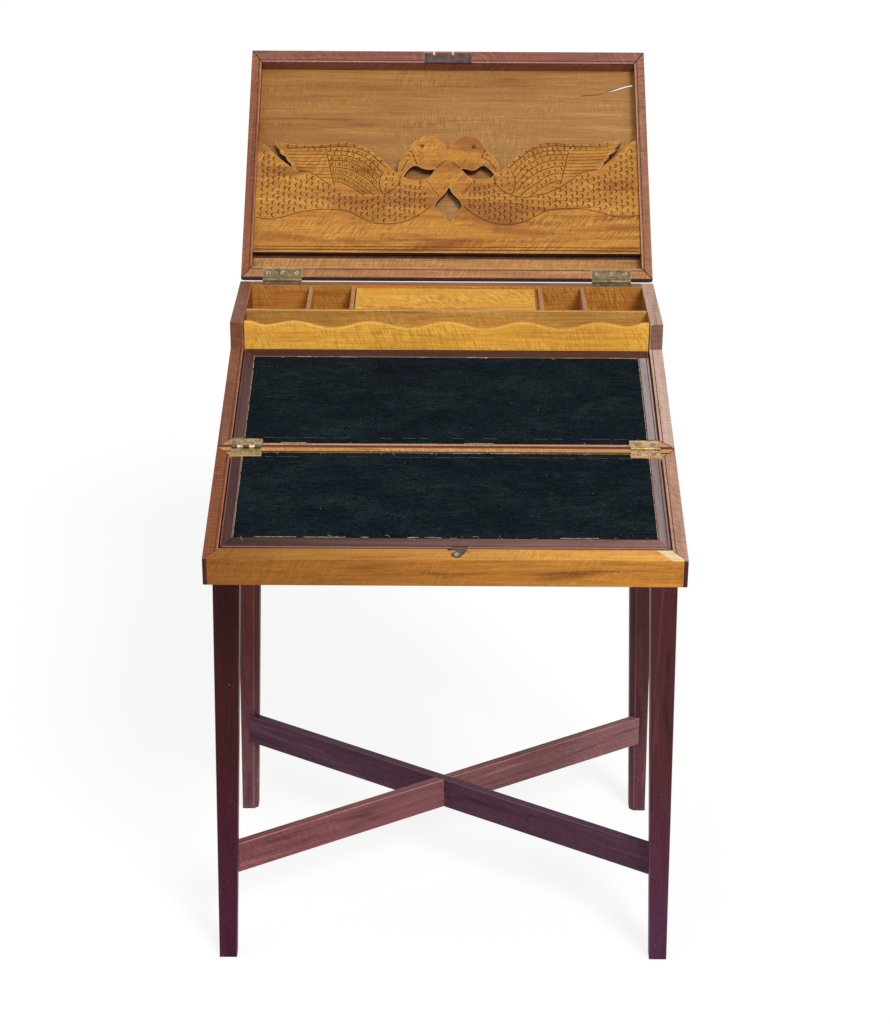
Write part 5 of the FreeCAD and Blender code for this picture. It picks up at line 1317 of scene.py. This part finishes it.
def by_nodes(name, start, tree, values):
    """Run a tree on a start mesh and keep what it makes as a plain mesh."""
    maker = add_object(name + "_maker", start)
    run = maker.modifiers.new("make", "NODES")
    run.node_group = tree
    for item in tree.interface.items_tree:
        if item.in_out == "INPUT" and item.name in values:
            run[item.identifier] = values[item.name]
    graph = bpy.context.evaluated_depsgraph_get()
    graph.update()
    mesh = bpy.data.meshes.new_from_object(maker.evaluated_get(graph), depsgraph=graph)
    mesh.name = name
    maker.modifiers.clear()
    bpy.data.objects.remove(maker)
    return mesh


SCREWS = screw_tree()


def screw_set(name, place, spots, body, node, seed, dark_beyond=1000.0):
    """Screws at these spots of a frame, their heads facing along its z; those beyond some y are tarnished."""
    dice = random.Random(seed)
    start = bpy.data.meshes.new(name + "_spots")
    start.from_pydata([place @ Vector(s) for s in spots], [], [])
    turns = start.attributes.new("turn", "FLOAT_VECTOR", "POINT")
    lie = place.to_3x3().normalized()
    for entry in turns.data:
        twist = Matrix.Rotation(dice.uniform(0.0, math.pi), 3, "Z")
        entry.vector = (lie @ twist).to_euler()
    mesh = by_nodes(name, start, SCREWS, {"Finish": SCREW_BRASS, "Dark Finish": GRIME_AND_SHADE_FINISH})
    mesh.shade_flat()
    mesh.materials.append(DARK_BRASS)
    for face in mesh.polygons:
        bright = mesh.materials[face.material_index] == SCREW_BRASS
        if bright and (place.inverted() @ face.center).y > dark_beyond:
            face.material_index = len(mesh.materials) - 1
    show(name, mesh, [], body, (node,))


FOLD_SCREWS = [s * x for s in (-1, 1) for x in (209.5, 226.5)]
HINGE_FROM, HINGE_WIDE, SET_IN = 176.0, 47.0, 6.6
LID_SCREWS = [s * (HINGE_FROM + HINGE_WIDE * part) for s in (-1, 1) for part in (0.14, 0.5, 0.86)]
FOLD_ROW = 8.4
CATCH_SCREW = (11.5, -185.0, 0.05)
PLATE_SCREWS = [(x, 335.28, -0.13) for x in (-24.5, -5.9, 19.7)]
rear_spots = [(x, FOLD_ROW, 0.12) for x in FOLD_SCREWS]
front_spots = [(x, -FOLD_ROW, 0.12) for x in FOLD_SCREWS] + [CATCH_SCREW]
box_spots = [(x, BOX_BACK + MID_BACK - SET_IN, RIM_HIGH + 0.1) for x in LID_SCREWS]
lid_spots = [(x, 4.0 + SET_IN, -0.13) for x in LID_SCREWS] + PLATE_SCREWS
screw_set("fold_screws_behind", SLOPED, rear_spots, "desk", "fold_hinge_rear_screws", 3)
screw_set("fold_screws_before", SLOPED, front_spots, "front", "front_screws", 4)
screw_set("lid_hinge_screws_below", LEVEL, box_spots, "desk", "lid_hinge_box_screws", 5)
screw_set("lid_hinge_screws_above", LID, lid_spots, "lid", "lid_screws", 6, 300.0)


# Baize: one cloth for each flap, glued over the flap and the rail beside it; on the desk it is the flap's
# hinge, but here each cloth is one fixed mesh
def cloth_mesh(name, sections, seed):
    """Sections are (half width, near, far) along the slope; edges are cut by hand and a little frayed."""
    dice = random.Random(seed)
    step, columns, fray = 4.0, 112, 0.7
    cloth_top, cloth_low = 0.0, -1.15
    points, faces, rows = [], [], []
    for half, near, far in sections:
        count = max(2, math.ceil(abs(far - near) / step))
        for i in range(count + 1):
            rows.append((half, near + (far - near) * i / count))
    top = []
    for r, (half, y) in enumerate(rows):
        line = []
        for c in range(columns + 1):
            share = 2.0 * c / columns - 1.0
            edge = abs(share) == 1.0
            end = r in (0, len(rows) - 1)
            x = share * half - (math.copysign(dice.uniform(0.0, fray), share) if edge else 0.0)
            shift = dice.uniform(0.0, fray) if end else 0.0
            inward = shift if (r == 0) == (rows[-1][1] > rows[0][1]) else -shift
            lift = 0.10 * math.sin(x * 0.061 + y * 0.11) + 0.08 * math.sin(x * 0.023 - y * 0.19)
            lift += dice.uniform(-0.05, 0.05)
            line.append(len(points))
            points.append((x, y + inward, cloth_top + lift - (0.25 if edge or end else 0.0)))
        top.append(line)
    count = len(points)
    points += [(x, y, cloth_low) for x, y, _ in points]
    for upper, lower in zip(top[:-1], top[1:]):
        for c in range(columns):
            quad = (upper[c], upper[c + 1], lower[c + 1], lower[c])
            faces.append(quad)
            faces.append(tuple(i + count for i in reversed(quad)))
    ring = top[0] + [line[-1] for line in top[1:]] + top[-1][-2::-1] + [line[0] for line in top[-2:0:-1]]
    for a, b in zip(ring, ring[1:] + ring[:1]):
        faces.append((b, a, a + count, b + count))
    mesh = bpy.data.meshes.new(name)
    mesh.from_pydata([SLOPED @ Vector(p) for p in points], [], faces)
    work = bmesh.new()
    work.from_mesh(mesh)
    bmesh.ops.recalc_face_normals(work, faces=work.faces)
    work.to_mesh(mesh)
    work.free()
    mesh.shade_smooth()
    return mesh


def thread_along(tree, line, radius):
    """A round thread along a curve."""
    ring = put(tree, "GeometryNodeCurvePrimitiveCircle", {"Resolution": 5, "Radius": radius}).outputs[0]
    settings = {"Curve": line, "Profile Curve": ring, "Fill Caps": True}
    return put(tree, "GeometryNodeCurveToMesh", settings).outputs[0]


def thread_tree():
    """Short curled threads scattered along an edge of cloth."""
    tree = bpy.data.node_groups.new("frayed_edge", "GeometryNodeTree")
    sizes = (("Thread Radius", 0.00016), ("Curl Radius", 0.0042), ("Count", 40.0), ("Share", 0.5),
             ("Seed", 1.0))
    given, result = add_inputs(tree, sizes)
    edge = put(tree, "GeometryNodeMeshToCurve", {"Mesh": given["Geometry"]}).outputs[0]
    row = {"Curve": edge, "Count": given["Count"]}
    spots = put(tree, "GeometryNodeCurveToPoints", row, mode="COUNT").outputs[0]
    arc_settings = {"Resolution": 9, "Radius": given["Curl Radius"], "Sweep Angle": 1.9}
    arc = put(tree, "GeometryNodeCurveArc", arc_settings, mode="RADIUS").outputs[0]
    strand = thread_along(tree, arc, given["Thread Radius"])
    shift = put(tree, "ShaderNodeCombineXYZ", {"X": product(tree, given["Curl Radius"], -0.8)}).outputs[0]
    strand = put(tree, "GeometryNodeTransform", {"Geometry": strand, "Translation": shift}).outputs[0]

    def at_random(kind, limits, output):
        settings = {**limits, "Seed": given["Seed"]}
        return put(tree, "FunctionNodeRandomValue", settings, data_type=kind).outputs[output]

    chosen = at_random("BOOLEAN", {"Probability": given["Share"]}, 3)
    turn = at_random("FLOAT_VECTOR", {0: (-0.12, -0.12, 0.0), 1: (0.12, 0.12, 6.28)}, 0)
    grow = at_random("FLOAT", {2: 0.35, 3: 1.25}, 1)
    settings = {"Points": spots, "Selection": chosen, "Instance": strand, "Rotation": turn, "Scale": grow}
    placed = put(tree, "GeometryNodeInstanceOnPoints", settings).outputs[0]
    real = put(tree, "GeometryNodeRealizeInstances", {"Geometry": placed}).outputs[0]
    done = put(tree, "GeometryNodeSetMaterial", {"Geometry": real, "Material": given["Finish"]}).outputs[0]
    tree.links.new(done, result.inputs[0])
    return tree


def cord_tree():
    """Threads laid along lines."""
    tree = bpy.data.node_groups.new("edge_thread", "GeometryNodeTree")
    given, result = add_inputs(tree, (("Thread Radius", 0.0003),))
    line = put(tree, "GeometryNodeMeshToCurve", {"Mesh": given["Geometry"]}).outputs[0]
    cord = thread_along(tree, line, given["Thread Radius"])
    done = put(tree, "GeometryNodeSetMaterial", {"Geometry": cord, "Material": given["Finish"]}).outputs[0]
    tree.links.new(done, result.inputs[0])
    return tree


FRAYED, CORDED = thread_tree(), cord_tree()
FROM_FLAT = SLOPED @ Matrix.Scale(1000.0, 4)


def broken_lines(edges, seed):
    """Runs of a few centimetres along these edges, wavy and with gaps; each edge says what is left."""
    dice = random.Random(seed)
    points, ties = [], []
    for near, far, left in edges:
        near, far = Vector(near), Vector(far)
        steps = round((far - near).length / 4.0)
        going = 0
        for k in range(steps + 1):
            if going <= 0 and dice.random() < left:
                going = dice.randint(3, 12)
                fresh = True
            if going > 0:
                stray = Vector((dice.uniform(-0.25, 0.25), dice.uniform(-0.25, 0.25), 0.0))
                points.append((near.lerp(far, k / steps) + stray) * MM)
                if not fresh:
                    ties.append((len(points) - 2, len(points) - 1))
                fresh = False
                going -= 1
    start = bpy.data.meshes.new("edge_lines")
    start.from_pydata(points, ties, [])
    return start


def frayed_edge(name, edges, curled, count, share, curl, seed, body):
    """Threads along straight edges and curls along some of them, drawn flat and then laid on the slope."""
    start = bpy.data.meshes.new(name + "_edges")
    ends = [p for edge in curled for p in edge]
    start.from_pydata([Vector(p) * MM for p in ends], [(i, i + 1) for i in range(0, len(ends), 2)], [])
    values = {"Count": float(count), "Share": share, "Curl Radius": curl * MM, "Seed": float(seed),
              "Finish": THREAD}
    work = bmesh.new()
    for part in (by_nodes(name + "_curls", start, FRAYED, values),
                 by_nodes(name + "_cords", broken_lines(edges, seed), CORDED, {"Finish": THREAD})):
        work.from_mesh(part)
    mesh = bpy.data.meshes.new(name)
    work.to_mesh(mesh)
    work.free()
    mesh.transform(FROM_FLAT)
    return show(name, mesh, [THREAD], body)


STRIP_HALF, BAIZE_HALF = 200.7, 221.2
UPPER_SECTIONS = [(STRIP_HALF, 7.7, 16.4), (BAIZE_HALF, 16.9, 176.9)]
LOWER_SECTIONS = [(STRIP_HALF, -9.2, -16.4), (BAIZE_HALF, -16.9, -158.4)]
upper_cloth = show("upper_cloth", cloth_mesh("upper_cloth", UPPER_SECTIONS, 51), [BAIZE], None,
                   ("rear_cloth_strip", "upper_flap_baize"))
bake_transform(upper_cloth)
lower_cloth = show("lower_cloth", cloth_mesh("lower_cloth", LOWER_SECTIONS, 52), [BAIZE], None,
                   ("front_cloth_strip", "lower_flap_baize"))
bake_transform(lower_cloth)
LIE = 0.25
EDGE_HALF, END_HALF = 220.8, 219.0


def edges_of(near, far, kept):
    """Left, right and end edges of the cloth on a flap; kept is how much of the end thread is left."""
    left = ((-EDGE_HALF, near, LIE), (-EDGE_HALF, far, LIE), 1.0)
    right = ((EDGE_HALF, near, LIE), (EDGE_HALF, far, LIE), 0.9)
    end = ((-END_HALF, far, LIE), (END_HALF, far, LIE), kept)
    return [left, right, end]


UPPER_EDGES, LOWER_EDGES = edges_of(18.0, 176.3, 0.10), edges_of(-18.0, -158.0, 0.12)
upper_fray = frayed_edge("upper_fray", UPPER_EDGES, [UPPER_EDGES[2][:2]], 46, 0.3, 2.4, 5, "upper_flap")
lower_fray = frayed_edge("lower_fray", LOWER_EDGES, [LOWER_EDGES[2][:2]], 110, 0.3, 3.2, 9, "lower_flap")
STRIP_EDGES = [((-197.0, y, LIE), (197.0, y, LIE), 0.03) for y in (8.4, -10.0)]
strip_fray = frayed_edge("strip_fray", STRIP_EDGES[:1], [STRIP_EDGES[0][:2]], 60, 0.10, 2.2, 12, "desk")
front_fray = frayed_edge("front_fray", STRIP_EDGES[1:], [STRIP_EDGES[1][:2]], 60, 0.22, 2.2, 14, "front")


def crease_line(name, y, seed, body):
    """The cloth is rubbed thin along its crease."""
    lines = broken_lines([((-200.0, y, 0.12), (200.0, y, 0.12), 0.2)], seed)
    mesh = by_nodes(name, lines, CORDED, {"Finish": CREASE, "Thread Radius": 0.00025})
    mesh.transform(FROM_FLAT)
    return show(name, mesh, [], body)


upper_crease = crease_line("upper_crease", 17.5, 21, "upper_flap")
lower_crease = crease_line("lower_crease", -17.5, 22, "lower_flap")


# Studio
def white_when_seen(tree):
    """1 where the camera, a mirror or a glass looks straight at the background."""
    rays = put(tree, "ShaderNodeLightPath").outputs
    seen = reckon(tree, "MAXIMUM", rays["Is Camera Ray"], rays["Is Glossy Ray"])
    return reckon(tree, "MAXIMUM", seen, rays["Is Transmission Ray"])


def studio_floor():
    mesh = bpy.data.meshes.new("studio_floor")
    size = 14.0
    corners = [(-size, -size, 0), (size, -size, 0), (size, size, 0), (-size, size, 0)]
    mesh.from_pydata(corners, [], [(0, 1, 2, 3)])
    finish = bpy.data.materials.new("white_paper")
    finish.use_nodes = True
    tree = finish.node_tree
    tree.nodes.clear()
    paper = put(tree, "ShaderNodeBsdfDiffuse", {"Color": (0.62, 0.62, 0.62, 1.0)}).outputs[0]
    glow = put(tree, "ShaderNodeEmission", {"Color": (1.0, 1.0, 1.0, 1.0), "Strength": 0.82}).outputs[0]
    faint = put(tree, "ShaderNodeBsdfDiffuse", {"Color": (0.23, 0.23, 0.23, 1.0)}).outputs[0]
    lit = put(tree, "ShaderNodeAddShader", {0: faint, 1: glow}).outputs[0]
    shown = put(tree, "ShaderNodeMixShader", {0: white_when_seen(tree), 1: paper, 2: lit}).outputs[0]
    put(tree, "ShaderNodeOutputMaterial", {"Surface": shown})
    mesh.materials.append(finish)
    floor = add_object("studio_floor", mesh)


def studio_light():
    world = bpy.data.worlds.new("white_room")
    bpy.context.scene.world = world
    world.use_nodes = True
    tree = world.node_tree
    tree.nodes.clear()
    levels = {"Value": white_when_seen(tree), "To Min": 0.36, "To Max": 1.0}
    strength = put(tree, "ShaderNodeMapRange", levels).outputs[0]
    back = put(tree, "ShaderNodeBackground", {"Color": (1.0, 1.0, 1.0, 1.0), "Strength": strength}).outputs[0]
    put(tree, "ShaderNodeOutputWorld", {"Surface": back})
    lamps = (("key_sun", (48.0, 0.0, 26.0), 20.0, 2.0), ("fill_sun", (42.0, 0.0, -45.0), 60.0, 0.5))
    for name, turn, spread, power in lamps:
        lamp = bpy.data.lights.new(name, "SUN")
        lamp.angle = math.radians(spread)
        lamp.energy = power
        thing = add_object(name, lamp)
        thing.location = (0.0, -1.0, 3.0)
        thing.rotation_euler = tuple(math.radians(a) for a in turn)


def photo_camera():
    """Where the photographer stood: in front, a little above the lid, looking down 24 degrees."""
    down, roll = math.radians(24.055), math.radians(0.321)
    look = Vector((0.0, math.cos(down), -math.sin(down)))
    level = Vector((1.0, 0.0, 0.0))
    up = level.cross(look)
    right = level * math.cos(roll) + up * math.sin(roll)
    top = up * math.cos(roll) - level * math.sin(roll)
    lens = bpy.data.cameras.new("photo_camera")
    lens.sensor_fit = "AUTO"
    lens.sensor_width = 36.0
    lens.lens = 81.90
    lens.clip_end = 60.0
    camera = add_object("photo_camera", lens)
    turn = Matrix((right, top, -look)).transposed()
    camera.matrix_world = Matrix.Translation((-0.0006, -2.5674, 1.6331)) @ turn.to_4x4()
    bpy.context.scene.camera = camera


studio_floor()
studio_light()
photo_camera()
bpy.context.scene.view_settings.view_transform = "Standard"
